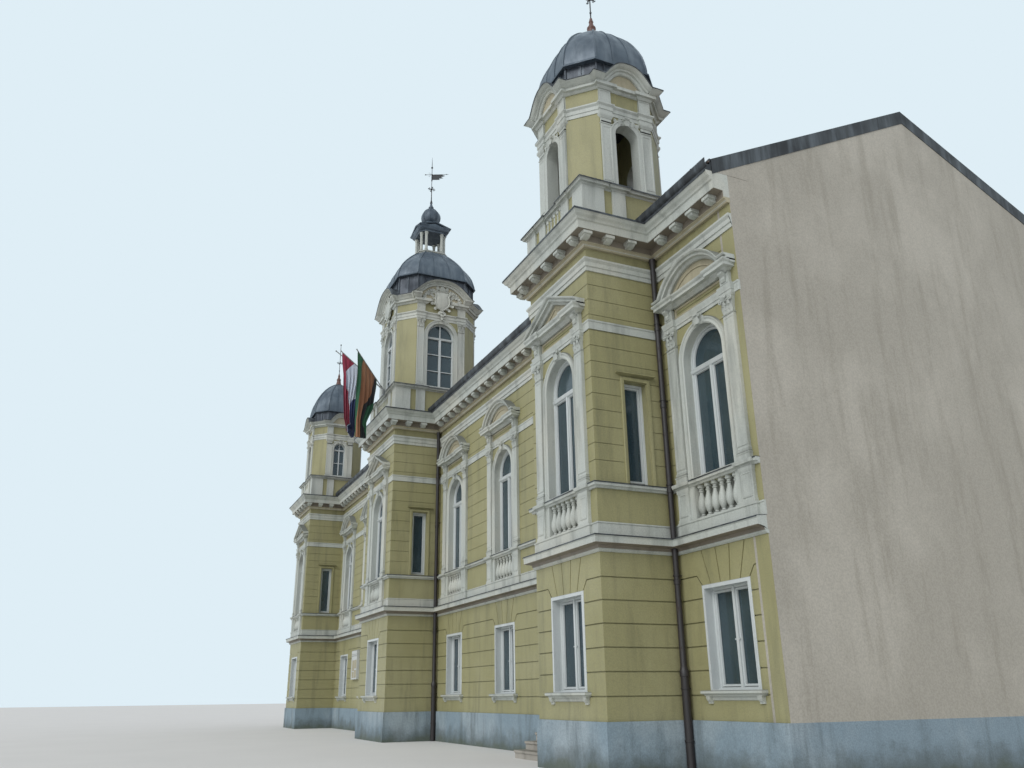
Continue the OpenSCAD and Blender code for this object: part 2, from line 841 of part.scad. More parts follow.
// A dome shell on its upright skirt, over a tower of half width a
module dome(line, a, cut, z0, skirt_h, dome_h, top_a) {
    zs = z0 + skirt_h;
    outer = section(a, cut, dome_inset, zs);
    inner = section(a, cut, -skirt_inset - dome_t, zs);
    color("#5b6570")
    difference() {
        tower_stack(concat(
            [section(a, cut, -skirt_inset, z0), section(a, cut, -skirt_inset, zs - 30)],
            [section(a, cut, dome_inset, zs - 30)],
            dome_sections(line, outer[0], outer[1], zs, dome_h, top_a)));
        tower_stack(concat(
            [[inner[0], inner[1], z0 - 10]],
            dome_sections(line, inner[0], inner[1], zs, dome_h - dome_t, max(top_a - dome_t, 30))));
    }
}

module right_dome() {
    at_right_tower()
        dome(side_dome_line, side_tower_a, side_tower_cut, z_side_top, side_skirt_h, side_dome_h, 150);
}

module left_dome() {
    at_left_tower()
        dome(side_dome_line, side_tower_a, side_tower_cut, z_side_top, side_skirt_h, side_dome_h, 150);
}

module centre_dome() {
    at_centre_tower()
        dome(centre_dome_line, centre_tower_a, centre_tower_cut, z_centre_top, centre_skirt_h, centre_dome_h,
            lantern_a + 40);
}

module lantern() {
    column_d = 150;
    color("#8f9694")
    at_centre_tower() {
        tower_stack([[lantern_a, 190, z_lantern], [lantern_a, 190, z_lantern + lantern_base_h]]);
        for (q = cut_square(lantern_a - column_d / 2 - 20, 150, 0))
            translate([q[0], q[1], z_lantern + lantern_base_h])
                cylinder(d = column_d, h = lantern_h);
    }
}

// Radius and share of the height at points up the onion roof
onion_line = [
    [250, 0], [310, 0.06], [355, 0.15], [375, 0.27], [370, 0.38], [335, 0.48], [275, 0.56], [195, 0.63],
    [115, 0.69], [90, 0.73], [100, 0.75], [100, 0.79], [70, 0.81], [60, 0.88], [30, 1], [0, 1]
];

module lantern_roof() {
    z0 = z_lantern_roof;
    z1 = z0 + lantern_eaves_h;
    color("#4c545c")
    at_centre_tower() {
        tower_stack([
            [lantern_a, 190, z0], [lantern_a, 190, z0 + 70], [lantern_a + 60, 80, z0 + 130],
            [lantern_a + 70, 80, z0 + 250], [330, 110, z1 - 130], [270, 90, z1]
        ]);
        translate([0, 0, z1])
            rotate_extrude()
                polygon(concat([[0, 0]], [for (p = onion_line) [p[0], p[1] * onion_h]]));
    }
}

// An iron scroll cross on a spindle: a hub with four curled arms
module scroll_cross(z) {
    translate([0, 0, z]) {
        sphere(r = 45);
        for (turn = [0, 90])
            rotate([0, 0, turn])
                translate([-130, -9, -9])
                    cube([260, 18, 18]);
    }
}

module side_finials() {
    color("#3a3c3e")
    for (s = [-1, 1])
        translate([s * pavilion_spacing, side_tower_y, z_side_dome + side_dome_h]) {
            cylinder(d1 = 300, d2 = 70, h = 640);
            cylinder(d = 34, h = finial_h);
            scroll_cross(1280);
            translate([0, 0, finial_h])
                sphere(r = 40);
        }
}

vane_z = z_onion_top + spire_h / 2;
spindle_d = 24;
collar_h = 40;

module centre_spire() {
    color("#3a3c3e")
    at_centre_tower() {
        translate([0, 0, z_onion_top]) {
            cylinder(d1 = 60, d2 = 34, h = 300);
            cylinder(d = 34, h = 800);
            scroll_cross(660);
        }
        translate([0, 0, z_onion_top + 800])
            cylinder(d = spindle_d, h = spire_h - 800);
        translate([0, 0, vane_z - collar_h])
            cylinder(d = spindle_d + 30, h = collar_h);
        translate([0, 0, vane_z + vane_h + 300])
            sphere(r = 42);
    }
}

module weather_vane() {
    sleeve_d = spindle_d + 2 * vane_gap + 16;
    color("#2f3133")
    at_centre_tower()
        rotate([0, 0, vane_turn])
            difference() {
                union() {
                    translate([0, 0, vane_z + vane_seat])
                        cylinder(d = sleeve_d, h = vane_h);
                    translate([0, 0, vane_z + vane_seat])
                        plate(10, 5)
                            polygon([
                                [0, 20], [vane_l * 0.6, 20], [vane_l * 0.5, vane_h * 0.25], [vane_l * 0.85, vane_h * 0.3],
                                [vane_l * 0.65, vane_h * 0.5], [vane_l, vane_h * 0.65], [vane_l * 0.8, vane_h * 0.8],
                                [0, vane_h - 30]
                            ]);
                    translate([-vane_l * 0.6, -6, vane_z + vane_seat + vane_h - 42])
                        cube([vane_l * 1.9, 12, 12]);
                }
                translate([0, 0, vane_z])
                    cylinder(d = spindle_d + 2 * vane_gap, h = vane_h + 30);
            }
}

// Puts a piece drawn in X, away from the poles' foot, into the upright plane of a pole
module at_pole(p) {
    translate([0, pole_foot_y, 0])
        rotate([0, 0, p[1] - 90])
            children();
}

module flagpoles() {
    color("#8a8d8a") {
        translate([0, pole_foot_y, z_parapet])
            cylinder(d = 110, h = holder_h + 30);
        for (p = poles)
            at_pole(p)
                translate([0, 0, pole_foot_z])
                    rotate([0, pole_lean, 0]) {
                        cylinder(d = pole_d, h = p[0]);
                        translate([0, 0, p[0]])
                            sphere(r = ball_r);
                    }
    }
}

// Height of a flag's top edge, just under its pole, at a distance from the poles' foot
function under_pole(r) = pole_foot_z + r / tan(pole_lean) - (pole_d / 2 + flag_gap) / sin(pole_lean);

module right_flag() {
    tip = right_pole_l * sin(pole_lean);
    near = (cornice_proj + flag_t / 2 + 65) / cos(right_pole_turn);
    low = under_pole(tip) - right_flag_h;
    color("#2c4a33")
    at_pole(poles[0])
        translate([0, flag_t / 2, 0])
            plate(flag_t)
                polygon([
                    [tip - 40, under_pole(tip - 40)], [340, under_pole(340)], [360, low + 1250],
                    [near, low + 600], [near, low + 40], [near + 540, low], [tip - 100, low + 900],
                    [tip - 50, low + 2400]
                ]);
}

module left_flag() {
    tip = middle_pole_l * sin(pole_lean);
    low = under_pole(tip) - left_flag_h;
    color("#8f2b3c")
    at_pole(poles[1])
        translate([0, flag_t / 2, 0])
            plate(flag_t)
                polygon([
                    [tip - 40, under_pole(tip - 40)], [500, under_pole(500)], [820, low + 1300],
                    [tip - 650, low + 60], [tip - 560, low], [tip - 360, low + 260], [tip - 230, low + 700],
                    [tip - 120, low + 2100]
                ]);
}

// Turned balusters below one window, between its pedestals
module baluster_row(y) {
    count = 6;
    z0 = z_base + 240;
    h = z_sill - 110 - z0;
    for (k = [0:count - 1])
        translate([(k + 0.5 - count / 2) * window_w / count, y + 40, z0])
            rotate_extrude($fn = 24)
                polygon([[0, 0], [62, 0], [62, 50], [38, 70], [70, h * 0.35], [34, h * 0.72], [36, h - 70], [58, h - 50], [58, h], [0, h]]);
}

module window_breast(y) {
    translate([0, y, 0]) {
        box(-pilaster_offset - pilaster_w / 2 - 30, pilaster_offset + pilaster_w / 2 + 30, -70, 0, z_base, z_base + 240);
        for (s = [-1, 1])
            box(s * pilaster_offset - pilaster_w / 2, s * pilaster_offset + pilaster_w / 2, -70, 0, z_base + 240, z_sill - 110);
    }
}

module balustrades() {
    color("#c9cac0") {
        for (x = wing_windows)
            translate([x, 0, 0]) {
                window_breast(projection);
                baluster_row(projection);
            }
        for (x = pavilion_windows)
            translate([x, 0, 0]) {
                window_breast(0);
                baluster_row(0);
            }
    }
}

module pilaster_pair(y) {
    for (s = [-1, 1])
        translate([s * pilaster_offset, y, 0]) {
            box(-pilaster_w / 2 + 20, pilaster_w / 2 - 20, -pilaster_proj + 20, 0, z_sill, z_capital);
            box(-pilaster_w / 2, pilaster_w / 2, -pilaster_proj, 0, z_sill, z_sill + 230);
            box(-pilaster_w / 2, pilaster_w / 2, -pilaster_proj, 0, z_capital, z_capital_top);
        }
}

module pilasters() {
    color("#c9cac0") {
        for (x = wing_windows)
            translate([x, 0, 0])
                pilaster_pair(projection);
        for (x = pavilion_windows)
            translate([x, 0, 0])
                pilaster_pair(0);
    }
}

module window_arch(y) {
    translate([0, y, 0])
        plate(surround_t)
            difference() {
                arched(window_w + 2 * surround_w, z_sill, z_upper_spring);
                translate([0, -20])
                    arched(window_w, z_sill - 20, z_upper_spring + 20);
            }
    translate([0, y, z_upper_head])
        plate(surround_t + 30)
            polygon([[-60, 0], [60, 0], [85, capital_rise], [-85, capital_rise]]);
}

module pediment_base() {
    box(-pediment_half, pediment_half, -pediment_proj, 0, z_pediment, z_tympanum);
    box(-pediment_half + pediment_ear, pediment_half - pediment_ear, -pilaster_proj, 0, z_capital_top, z_pediment);
}

// Radius of the segmental arc over a half width with the given rise
function arc_radius(half, rise) = (half * half + rise * rise) / (2 * rise);

module segment_outline(half, rise, z) {
    r = arc_radius(half, rise);
    intersection() {
        translate([0, z + rise - r])
            circle(r = r, $fn = 120);
        translate([-half, z])
            square([2 * half, rise]);
    }
}

// A raised rim with a thin field inside it
module tympanum() {
    plate(pediment_proj)
        difference() {
            children(0);
            children(1);
        }
    plate(60)
        children(1);
}

module pediments() {
    z0 = z_tympanum;
    color("#c9cac0") {
        for (x = wing_windows)
            translate([x, projection, 0]) {
                pediment_base();
                tympanum() {
                    segment_outline(pediment_half, pediment_rise, z0);
                    segment_outline(pediment_half - 200, pediment_rise - 150, z0);
                }
            }
        for (x = pavilion_windows)
            translate([x, 0, 0]) {
                pediment_base();
                tympanum() {
                    polygon([[-pediment_half, z0], [pediment_half, z0], [0, z0 + pediment_rise]]);
                    polygon([[-pediment_half + 420, z0], [pediment_half - 420, z0], [0, z0 + pediment_rise - 170]]);
                }
            }
    }
}

module narrow_surround() {
    w = side_window_w;
    plate(40)
        difference() {
            translate([-w / 2 - 70, z_sill])
                square([w + 140, side_window_h + 35 + 110]);
            translate([-w / 2, z_sill - 10])
                square([w, side_window_h + 45]);
        }
    box(-w / 2 - 110, w / 2 + 110, -110, 0, z_sill + side_window_h + 145, z_sill + side_window_h + 215);
}

module window_surrounds() {
    color("#c9cac0") {
        for (x = wing_windows)
            translate([x, 0, 0])
                window_arch(projection);
        for (x = pavilion_windows)
            translate([x, 0, 0])
                window_arch(0);
        for (side = pavilion_sides)
            on_side(side)
                narrow_surround();
    }
}

module ground_sill() {
    box(-window_w / 2 - sill_ear, window_w / 2 + sill_ear, -130, 0, z_ground_window - 90, z_ground_window);
    for (s = [-1, 1])
        box(s * (window_w / 2 + 60) - 60, s * (window_w / 2 + 60) + 60, -80, 0, z_ground_window - 210, z_ground_window - 90);
}

module ground_window_sills() {
    color("#c4c7bf") {
        for (x = front_ground_windows)
            translate([x, projection, 0])
                ground_sill();
        for (x = pavilion_windows)
            translate([x, 0, 0])
                ground_sill();
        for (x = back_window_x)
            translate([x, back_y, 0])
                rotate([0, 0, 180])
                    ground_sill();
    }
}

module ground_frame() {
    plate(frame_t, reveal + frame_t)
        difference() {
            ground_opening();
            for (s = [-1, 1])
                translate([s > 0 ? frame_w / 2 : -window_w / 2 + frame_w, z_ground_window + frame_w])
                    square([window_w / 2 - frame_w * 1.5, ground_window_h - 2 * frame_w]);
        }
}

module ground_pane() {
    plate(glass_t, reveal + frame_t + glass_t)
        ground_opening();
}

// One piece for every window of the ground storey, back wall included
module at_ground_windows() {
    for (x = front_ground_windows)
        translate([x, projection, 0])
            children();
    for (x = pavilion_windows)
        translate([x, 0, 0])
            children();
    for (x = back_window_x)
        translate([x, back_y, 0])
            rotate([0, 0, 180])
                children();
}

module at_upper_windows() {
    for (x = wing_windows)
        translate([x, projection, 0])
            children();
    for (x = pavilion_windows)
        translate([x, 0, 0])
            children();
    for (x = back_window_x)
        translate([x, back_y, 0])
            rotate([0, 0, 180])
                children();
}

module ground_window_frames() {
    color("#d5d8d6")
    at_ground_windows()
        ground_frame();
}

module ground_window_glass() {
    color("#5f7784")
    at_ground_windows()
        ground_pane();
}

// An arched frame with a mullion that ends at the transom, or runs on into the arch by rise
module arched_frame(w, z0, z_spring, z_transom, rise) {
    plate(frame_t, reveal + frame_t)
        difference() {
            arched(w, z0, z_spring);
            difference() {
                arched(w - 2 * frame_w, z0 + frame_w, z_spring);
                translate([-frame_w / 2, z0])
                    square([frame_w, z_transom - z0 + rise]);
                translate([-w / 2, z_transom - frame_w / 2])
                    square([w, frame_w]);
            }
        }
}

module arched_pane(w, z0, z_spring) {
    plate(glass_t, reveal + frame_t + glass_t)
        arched(w, z0, z_spring);
}

module narrow_frame() {
    plate(frame_t, reveal + frame_t)
        difference() {
            side_opening();
            translate([-side_window_w / 2 + frame_w, z_upper_window + frame_w])
                square([side_window_w - 2 * frame_w, side_window_h - 2 * frame_w]);
        }
}

module upper_window_frames() {
    color("#d5d8d6") {
        at_upper_windows()
            arched_frame(window_w, z_upper_window, z_upper_spring, z_transom, 0);
        for (side = pavilion_sides)
            on_side(side)
                narrow_frame();
    }
}

module upper_window_glass() {
    color("#5f7784") {
        at_upper_windows()
            arched_pane(window_w, z_upper_window, z_upper_spring);
        for (side = pavilion_sides)
            on_side(side)
                plate(glass_t, reveal + frame_t + glass_t)
                    side_opening();
    }
}

// One piece in each face of the glazed centre and left towers
module at_tower_windows() {
    at_centre_tower()
        for (turn = [0:90:270])
            rotate([0, 0, turn])
                translate([0, -centre_tower_a, 0])
                    children(0);
    at_left_tower()
        for (turn = [0:90:270])
            rotate([0, 0, turn])
                translate([0, -side_tower_a, 0])
                    children(1);
}

tower_reveal = 90;

module tower_window_frames() {
    z0 = z_parapet + tower_sill_h;
    z_centre_spring = z0 + centre_opening_h - centre_opening_w / 2;
    z_side_spring = z0 + side_opening_h - side_opening_w / 2;
    color("#d5d8d6")
    at_tower_windows() {
        translate([0, tower_reveal - reveal, 0])
            arched_frame(centre_opening_w, z0, z_centre_spring, z_centre_spring - 60, centre_opening_w);
        translate([0, tower_reveal - reveal, 0])
            arched_frame(side_opening_w, z0, z_side_spring, z_side_spring - 60, side_opening_w);
    }
}

module tower_window_glass() {
    z0 = z_parapet + tower_sill_h;
    color("#5f7784")
    at_tower_windows() {
        translate([0, tower_reveal - reveal, 0])
            arched_pane(centre_opening_w, z0, z0 + centre_opening_h - centre_opening_w / 2);
        translate([0, tower_reveal - reveal, 0])
            arched_pane(side_opening_w, z0, z0 + side_opening_h - side_opening_w / 2);
    }
}

module entrance_door() {
    color("#5a4030")
    translate([door_x, projection + reveal, 0]) {
        box(-door_w / 2, door_w / 2, 0, 60, z_plinth, z_plinth + door_h);
    }
}

module entrance_steps() {
    risers = 5;
    color("#a39d92")
    translate([door_x, projection - plinth_proj, 0])
        for (k = [1:risers - 1])
            box(-door_w / 2 - 250, door_w / 2 + 250, -(risers - k) * tread, -(risers - k - 1) * tread, 0, k * z_plinth / risers);
}

module notice_board() {
    color("#d3d6d4")
    box(notice_x - notice_w / 2, notice_x + notice_w / 2, projection - 110, projection,
        z_plinth + 1140, z_plinth + 1140 + notice_h);
}

module placed() {
    translate([0, y_shift, 0])
        children();
}

placed() plinth();
placed() ground_floor();
placed() upper_floor();
placed() attic_floor();
placed() right_end_wall();
placed() right_wing_wall();
placed() left_wing_wall();
placed() left_end_wall();
placed() right_pavilion();
placed() centre_pavilion();
placed() left_pavilion();
placed() back_wall();
placed() party_walls();
placed() belt_course();
placed() sill_course();
placed() balustrades();
placed() pilasters();
placed() window_surrounds();
placed() pediments();
placed() ground_window_sills();
placed() ground_window_frames();
placed() upper_window_frames();
placed() tower_window_frames();
placed() ground_window_glass();
placed() upper_window_glass();
placed() tower_window_glass();
placed() architrave();
placed() modillions();
placed() main_cornice();
placed() main_roof();
placed() gutters();
placed() rainwater_pipes();
placed() parapets();
placed() right_tower();
placed() centre_tower();
placed() left_tower();
placed() right_dome();
placed() centre_dome();
placed() left_dome();
placed() lantern();
placed() lantern_roof();
placed() side_finials();
placed() centre_spire();
placed() weather_vane();
placed() flagpoles();
placed() left_flag();
placed() right_flag();
placed() entrance_door();
placed() entrance_steps();
placed() notice_board();
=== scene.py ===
from math import atan2, cos, degrees, hypot, pi, radians, sin, sqrt, tan

import bmesh
import bpy
from mathutils import Matrix, Vector, noise


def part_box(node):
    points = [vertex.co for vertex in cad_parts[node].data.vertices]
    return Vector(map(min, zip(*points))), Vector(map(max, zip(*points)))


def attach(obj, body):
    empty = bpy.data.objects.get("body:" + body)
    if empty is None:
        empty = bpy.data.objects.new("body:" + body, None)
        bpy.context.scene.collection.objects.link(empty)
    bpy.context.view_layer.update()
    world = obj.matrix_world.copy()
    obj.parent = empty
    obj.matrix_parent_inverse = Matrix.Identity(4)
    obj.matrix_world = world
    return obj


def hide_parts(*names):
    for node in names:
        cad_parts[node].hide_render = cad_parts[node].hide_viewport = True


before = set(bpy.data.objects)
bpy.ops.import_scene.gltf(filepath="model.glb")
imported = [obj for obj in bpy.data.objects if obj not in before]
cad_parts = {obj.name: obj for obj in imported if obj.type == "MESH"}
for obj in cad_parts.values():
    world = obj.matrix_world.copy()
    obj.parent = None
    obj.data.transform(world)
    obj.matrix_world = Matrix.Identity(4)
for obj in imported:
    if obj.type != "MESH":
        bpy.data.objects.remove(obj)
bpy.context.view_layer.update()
scene = bpy.context.scene
print("frame loaded:", len(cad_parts), "nodes")


def lowest(node):
    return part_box(node)[0]


def highest(node):
    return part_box(node)[1]


# plan positions and levels, all read off the frame
plan = {
    "front": lowest("centre_pavilion").y,
    "wing": lowest("right_wing_wall").y,
    "back": highest("back_wall").y,
    "centreHalf": highest("centre_pavilion").x,
    "sideIn": lowest("right_pavilion").x,
    "sideOut": highest("right_pavilion").x,
    "party": highest("party_walls").x,
}
plan["sideX"] = (plan["sideIn"] + plan["sideOut"]) / 2
plan["sideHalf"] = (plan["sideOut"] - plan["sideIn"]) / 2
level = {
    "plinth": highest("plinth").z,
    "belt": lowest("belt_course").z,
    "base": highest("belt_course").z,
    "sill": highest("sill_course").z,
    "capital": highest("pilasters").z,
    "cornice": lowest("main_cornice").z,
    "eaves": highest("main_cornice").z,
    "parapet": highest("parapets").z,
}

# camera: where the photograph was taken from, looking up along the street
shot = {"place": (28.165, -12.989, 1.29), "turn": 24.44, "pitch": 20.33, "roll": -0.70, "lens": 29.53, "sensor": 36,
        "far": 500}


def addCamera():
    turn, pitch, roll = (radians(shot[k]) for k in ("turn", "pitch", "roll"))
    ahead = Vector((-cos(turn) * cos(pitch), sin(turn) * cos(pitch), sin(pitch)))
    right = Vector((sin(turn), cos(turn), 0))
    up = right.cross(ahead)
    across = cos(roll) * right + sin(roll) * up
    upright = cos(roll) * up - sin(roll) * right
    camera = bpy.data.objects.new("camera", bpy.data.cameras.new("camera"))
    scene.collection.objects.link(camera)
    camera.data.lens = shot["lens"]
    camera.data.sensor_width = shot["sensor"]
    camera.data.clip_end = shot["far"]
    facing = Matrix((across, upright, -ahead)).transposed().to_4x4()
    camera.matrix_world = Matrix.Translation(shot["place"]) @ facing
    scene.camera = camera


addCamera()


# shader building
def put(tree, kind, inputs=None, **settings):
    node = tree.nodes.new(kind)
    for key, value in settings.items():
        setattr(node, key, value)
    for key, value in (inputs or {}).items():
        if isinstance(value, bpy.types.NodeSocket):
            tree.links.new(value, node.inputs[key])
        else:
            node.inputs[key].default_value = value
    return node


def colour(code):
    parts = [int(code[k:k + 2], 16) / 255 for k in (1, 3, 5)]
    return tuple(p / 12.92 if p < 0.04045 else ((p + 0.055) / 1.055) ** 2.4 for p in parts) + (1,)


def ramp(tree, value, low, high, kind="SMOOTHSTEP"):
    return put(tree, "ShaderNodeMapRange", {0: value, 1: low, 2: high}, interpolation_type=kind).outputs[0]


def mixed(tree, share, first, second, blend="MIX"):
    first, second = (colour(value) if isinstance(value, str) else value for value in (first, second))
    node = put(tree, "ShaderNodeMix", {0: share, 6: first, 7: second}, data_type="RGBA", blend_type=blend)
    return node.outputs[2]


def sums(tree, kind, first, second):
    return put(tree, "ShaderNodeMath", {0: first, 1: second}, operation=kind).outputs[0]


def times(tree, first, second):
    return sums(tree, "MULTIPLY", first, second)


def places(tree):
    return put(tree, "ShaderNodeTexCoord").outputs["Object"]


def stretchedNoise(tree, stretch, scale, detail=5.0, rough=0.55):
    laid = put(tree, "ShaderNodeMapping", {"Vector": places(tree), "Scale": stretch}).outputs[0]
    settings = {"Vector": laid, "Scale": scale, "Detail": detail, "Roughness": rough}
    return put(tree, "ShaderNodeTexNoise", settings).outputs[0]


# rain streaks, washed-out patches and dirt on whatever faces up
weatherInputs = {"Colour": "Color", "Dirt": "Color", "Pale": "Color", "Streaks": "Float", "Patches": "Float",
                 "Ledges": "Float", "Grain": "Float"}
weatherOutputs = {"Colour": "Color", "Roughness": "Float", "Height": "Float"}
weather = {"soot": "#20221f", "sootShare": 0.55, "spots": 0.35, "speckle": 0.10, "spotHeight": 0.5}


def weatherGroup():
    tree = bpy.data.node_groups.new("weathering", "ShaderNodeTree")
    for way, table in (("INPUT", weatherInputs), ("OUTPUT", weatherOutputs)):
        for key, kind in table.items():
            tree.interface.new_socket(key, in_out=way, socket_type="NodeSocket" + kind)
    given, out = put(tree, "NodeGroupInput").outputs, put(tree, "NodeGroupOutput").inputs
    streaks = ramp(tree, stretchedNoise(tree, (1, 1, 0.13), 3.1, 7.0, 0.62), 0.47, 0.72)
    patches = ramp(tree, stretchedNoise(tree, (1, 1, 0.8), 0.55), 0.42, 0.66)
    spots = ramp(tree, stretchedNoise(tree, (1, 1, 1), 7.0, 8.0, 0.7), 0.56, 0.72)
    grain = {"Vector": places(tree), "Scale": given["Grain"], "Detail": 4.0}
    fine = put(tree, "ShaderNodeTexNoise", grain).outputs[0]
    normal = put(tree, "ShaderNodeNewGeometry").outputs["Normal"]
    facing = put(tree, "ShaderNodeSeparateXYZ", {0: normal}).outputs[2]
    washed = mixed(tree, times(tree, patches, given["Patches"]), given["Colour"], given["Pale"])
    grimy = times(tree, sums(tree, "ADD", streaks, times(tree, spots, weather["spots"])), given["Streaks"])
    stained = mixed(tree, put(tree, "ShaderNodeClamp", {0: grimy}).outputs[0], washed, given["Dirt"])
    upward = times(tree, ramp(tree, facing, 0.25, 0.8), given["Ledges"])
    ledged = mixed(tree, upward, stained, mixed(tree, weather["sootShare"], given["Dirt"], weather["soot"]))
    speckle = ramp(tree, fine, 0.3, 0.7)
    grey = put(tree, "ShaderNodeCombineColor", {0: speckle, 1: speckle, 2: speckle}).outputs[0]
    tree.links.new(mixed(tree, weather["speckle"], ledged, grey, "OVERLAY"), out["Colour"])
    tree.links.new(ramp(tree, fine, -0.6, 1.3, "LINEAR"), out["Roughness"])
    tree.links.new(sums(tree, "ADD", fine, times(tree, spots, weather["spotHeight"])), out["Height"])
    return tree


weathering = weatherGroup()


def aged(tree, look):
    values = [colour(value) if isinstance(value, str) else value for value in look]
    return put(tree, "ShaderNodeGroup", dict(zip(weatherInputs, values)), node_tree=weathering).outputs


def newMaterial(name, roughness=0.8, **fixed):
    material = bpy.data.materials.new(name)
    material.use_nodes = True
    surface = material.node_tree.nodes["Principled BSDF"]
    surface.inputs["Roughness"].default_value = roughness
    for key, value in fixed.items():
        surface.inputs[key.replace("_", " ")].default_value = value
    return material, material.node_tree


# joins a colour, a roughness and a height of so many metres to the surface
def finished(material, base, roughness, height, depth, strength=0.5):
    tree = material.node_tree
    raised = put(tree, "ShaderNodeBump", {"Height": height, "Distance": depth, "Strength": strength})
    for value, key in ((base, "Base Color"), (roughness, "Roughness"), (raised.outputs[0], "Normal")):
        if value is not None:
            tree.links.new(value, tree.nodes["Principled BSDF"].inputs[key])
    return material


# colour, dirt, pale patches, how strong the streaks, patches and dirty ledges are, and the grain's scale
finishes = {
    "yellowPlaster": ("#938f67", "#5f5f48", "#a29e79", 0.38, 0.55, 0.8, 55.0),
    "paleTrim": ("#b5bab3", "#7b7f79", "#c3c2b5", 0.55, 0.6, 0.85, 60.0),
    "creamTrim": ("#a8a188", "#7a7260", "#b7af95", 0.4, 0.55, 0.75, 60.0),
    "partyPlaster": ("#a39e92", "#817b6d", "#b3aea2", 0.38, 0.8, 0.6, 35.0),
    "shadedPlaster": ("#787063", "#504a40", "#8b8375", 0.5, 0.6, 0.7, 50.0),
    "stepStone": ("#9a958b", "#67625a", "#aaa59a", 0.5, 0.7, 0.5, 70.0),
    "windowPaint": ("#c3c9c8", "#8b918f", "#ced2d0", 0.3, 0.3, 0.6, 90.0),
    "boardPaint": ("#c6cac8", "#8c908c", "#d2d4d2", 0.35, 0.3, 0.5, 90.0),
}
plinthFinish = {"look": ("#81939d", "#596568", "#9aa7ad", 0.6, 0.95, 0.7, 40.0), "wet": "#4d5552", "wetShare": 0.6,
                "moss": "#4c5238", "mossShare": 0.55}


def plasterMaterial(name):
    painted = "Paint" in name
    material, tree = newMaterial(name, 0.45 if painted else 0.9)
    out = aged(tree, finishes[name])
    roughness = None if painted else out["Roughness"]
    return finished(material, out["Colour"], roughness, out["Height"], 0.002 if painted else 0.006)


# the plinth's patched render, damp and mossy towards the ground
def plinthMaterial():
    material, tree = newMaterial("plinthPlaster", 0.92)
    out = aged(tree, plinthFinish["look"])
    height = put(tree, "ShaderNodeSeparateXYZ", {0: places(tree)}).outputs[2]
    ragged = stretchedNoise(tree, (1, 1, 1), 1.6, 8.0, 0.65)
    damp = ramp(tree, sums(tree, "ADD", height, times(tree, ragged, -1.1)), 0.02, -0.42)
    moss = ramp(tree, sums(tree, "ADD", height, times(tree, ragged, -0.8)), -0.2, -0.4)
    wet = mixed(tree, times(tree, damp, plinthFinish["wetShare"]), out["Colour"], plinthFinish["wet"])
    green = mixed(tree, times(tree, moss, plinthFinish["mossShare"]), wet, plinthFinish["moss"])
    return finished(material, green, None, out["Height"], 0.012, 0.6)


# sheet metal with run-off streaks, dull and slightly dented
def sheetMetal(name, base, dirt, rough=0.5, metal=0.35, dents=0.01, runOff="#818b92"):
    material, tree = newMaterial(name, rough, Metallic=metal)
    streaks = ramp(tree, stretchedNoise(tree, (1, 1, 0.1), 5.0, 7.0, 0.62), 0.4, 0.72)
    clouds = ramp(tree, stretchedNoise(tree, (1, 1, 1), 1.7, 6.0), 0.35, 0.7)
    mottled = mixed(tree, times(tree, clouds, 0.5), base, dirt)
    return finished(material, mixed(tree, times(tree, streaks, 0.35), mottled, runOff),
                    ramp(tree, clouds, -1.2, 1.9, "LINEAR"), stretchedNoise(tree, (1, 1, 1), 3.5, 4.0), dents, 0.4)


# paint over iron, with a little rust where the noise is high
def paintedIron(name, base, rust, amount=0.4):
    material, tree = newMaterial(name, 0.5)
    rusty = ramp(tree, stretchedNoise(tree, (1, 1, 0.5), 9.0, 8.0, 0.7), 0.52, 0.7)
    return finished(material, mixed(tree, times(tree, rusty, amount), base, rust),
                    ramp(tree, rusty, -1.2, 1.4, "LINEAR"), stretchedNoise(tree, (1, 1, 1), 60.0, 4.0), 0.001)


# fired clay, each tile a little different by its place
def tileMaterial():
    material, tree = newMaterial("roofTiles", 0.85)
    cells = put(tree, "ShaderNodeMapping", {"Vector": places(tree), "Scale": (5.4, 3.4, 0.01)}).outputs[0]
    whole = put(tree, "ShaderNodeVectorMath", {0: cells}, operation="FLOOR").outputs[0]
    tiles = mixed(tree, put(tree, "ShaderNodeTexWhiteNoise", {"Vector": whole}).outputs[0], "#4d4743", "#6a5a50")
    lichen = ramp(tree, stretchedNoise(tree, (1, 1, 1), 2.4, 8.0, 0.7), 0.5, 0.7)
    return finished(material, mixed(tree, times(tree, lichen, 0.5), tiles, "#3c3f36"),
                    ramp(tree, lichen, -2.5, 1.4, "LINEAR"), stretchedNoise(tree, (1, 1, 1), 40.0, 5.0), 0.003)


# grain along the boards, with darker joints between them
def woodMaterial(name, base, dark, across, rough=0.55):
    material, tree = newMaterial(name, rough)
    grain = stretchedNoise(tree, across, 4.0, 8.0, 0.6)
    return finished(material, mixed(tree, ramp(tree, grain, 0.35, 0.68), dark, base),
                    ramp(tree, grain, -1.0, 2.0, "LINEAR"), grain, 0.003, 0.4)


# clear panes under a thin film of dust
def glassMaterial():
    material, tree = newMaterial("windowGlass", 0.06, IOR=1.52, Transmission_Weight=0.72)
    film = ramp(tree, stretchedNoise(tree, (1, 1, 0.5), 1.3, 5.0), 0.35, 0.75)
    return finished(material, mixed(tree, film, "#56707c", "#6f8890"), ramp(tree, film, -0.4, 9.0, "LINEAR"),
                    stretchedNoise(tree, (1, 1, 1), 1.8, 2.0), 0.01, 0.25)


# woven cloth, a little faded, with darker damp clouds
def clothMaterial(name, base, faded):
    material, tree = newMaterial(name, 0.9, Sheen_Weight=0.15)
    clouds = ramp(tree, stretchedNoise(tree, (1, 1, 0.4), 2.2, 6.0, 0.6), 0.35, 0.7)
    weave = stretchedNoise(tree, (1, 1, 3), 220.0, 3.0)
    return finished(material, mixed(tree, clouds, base, faded), None, weave, 0.0006)


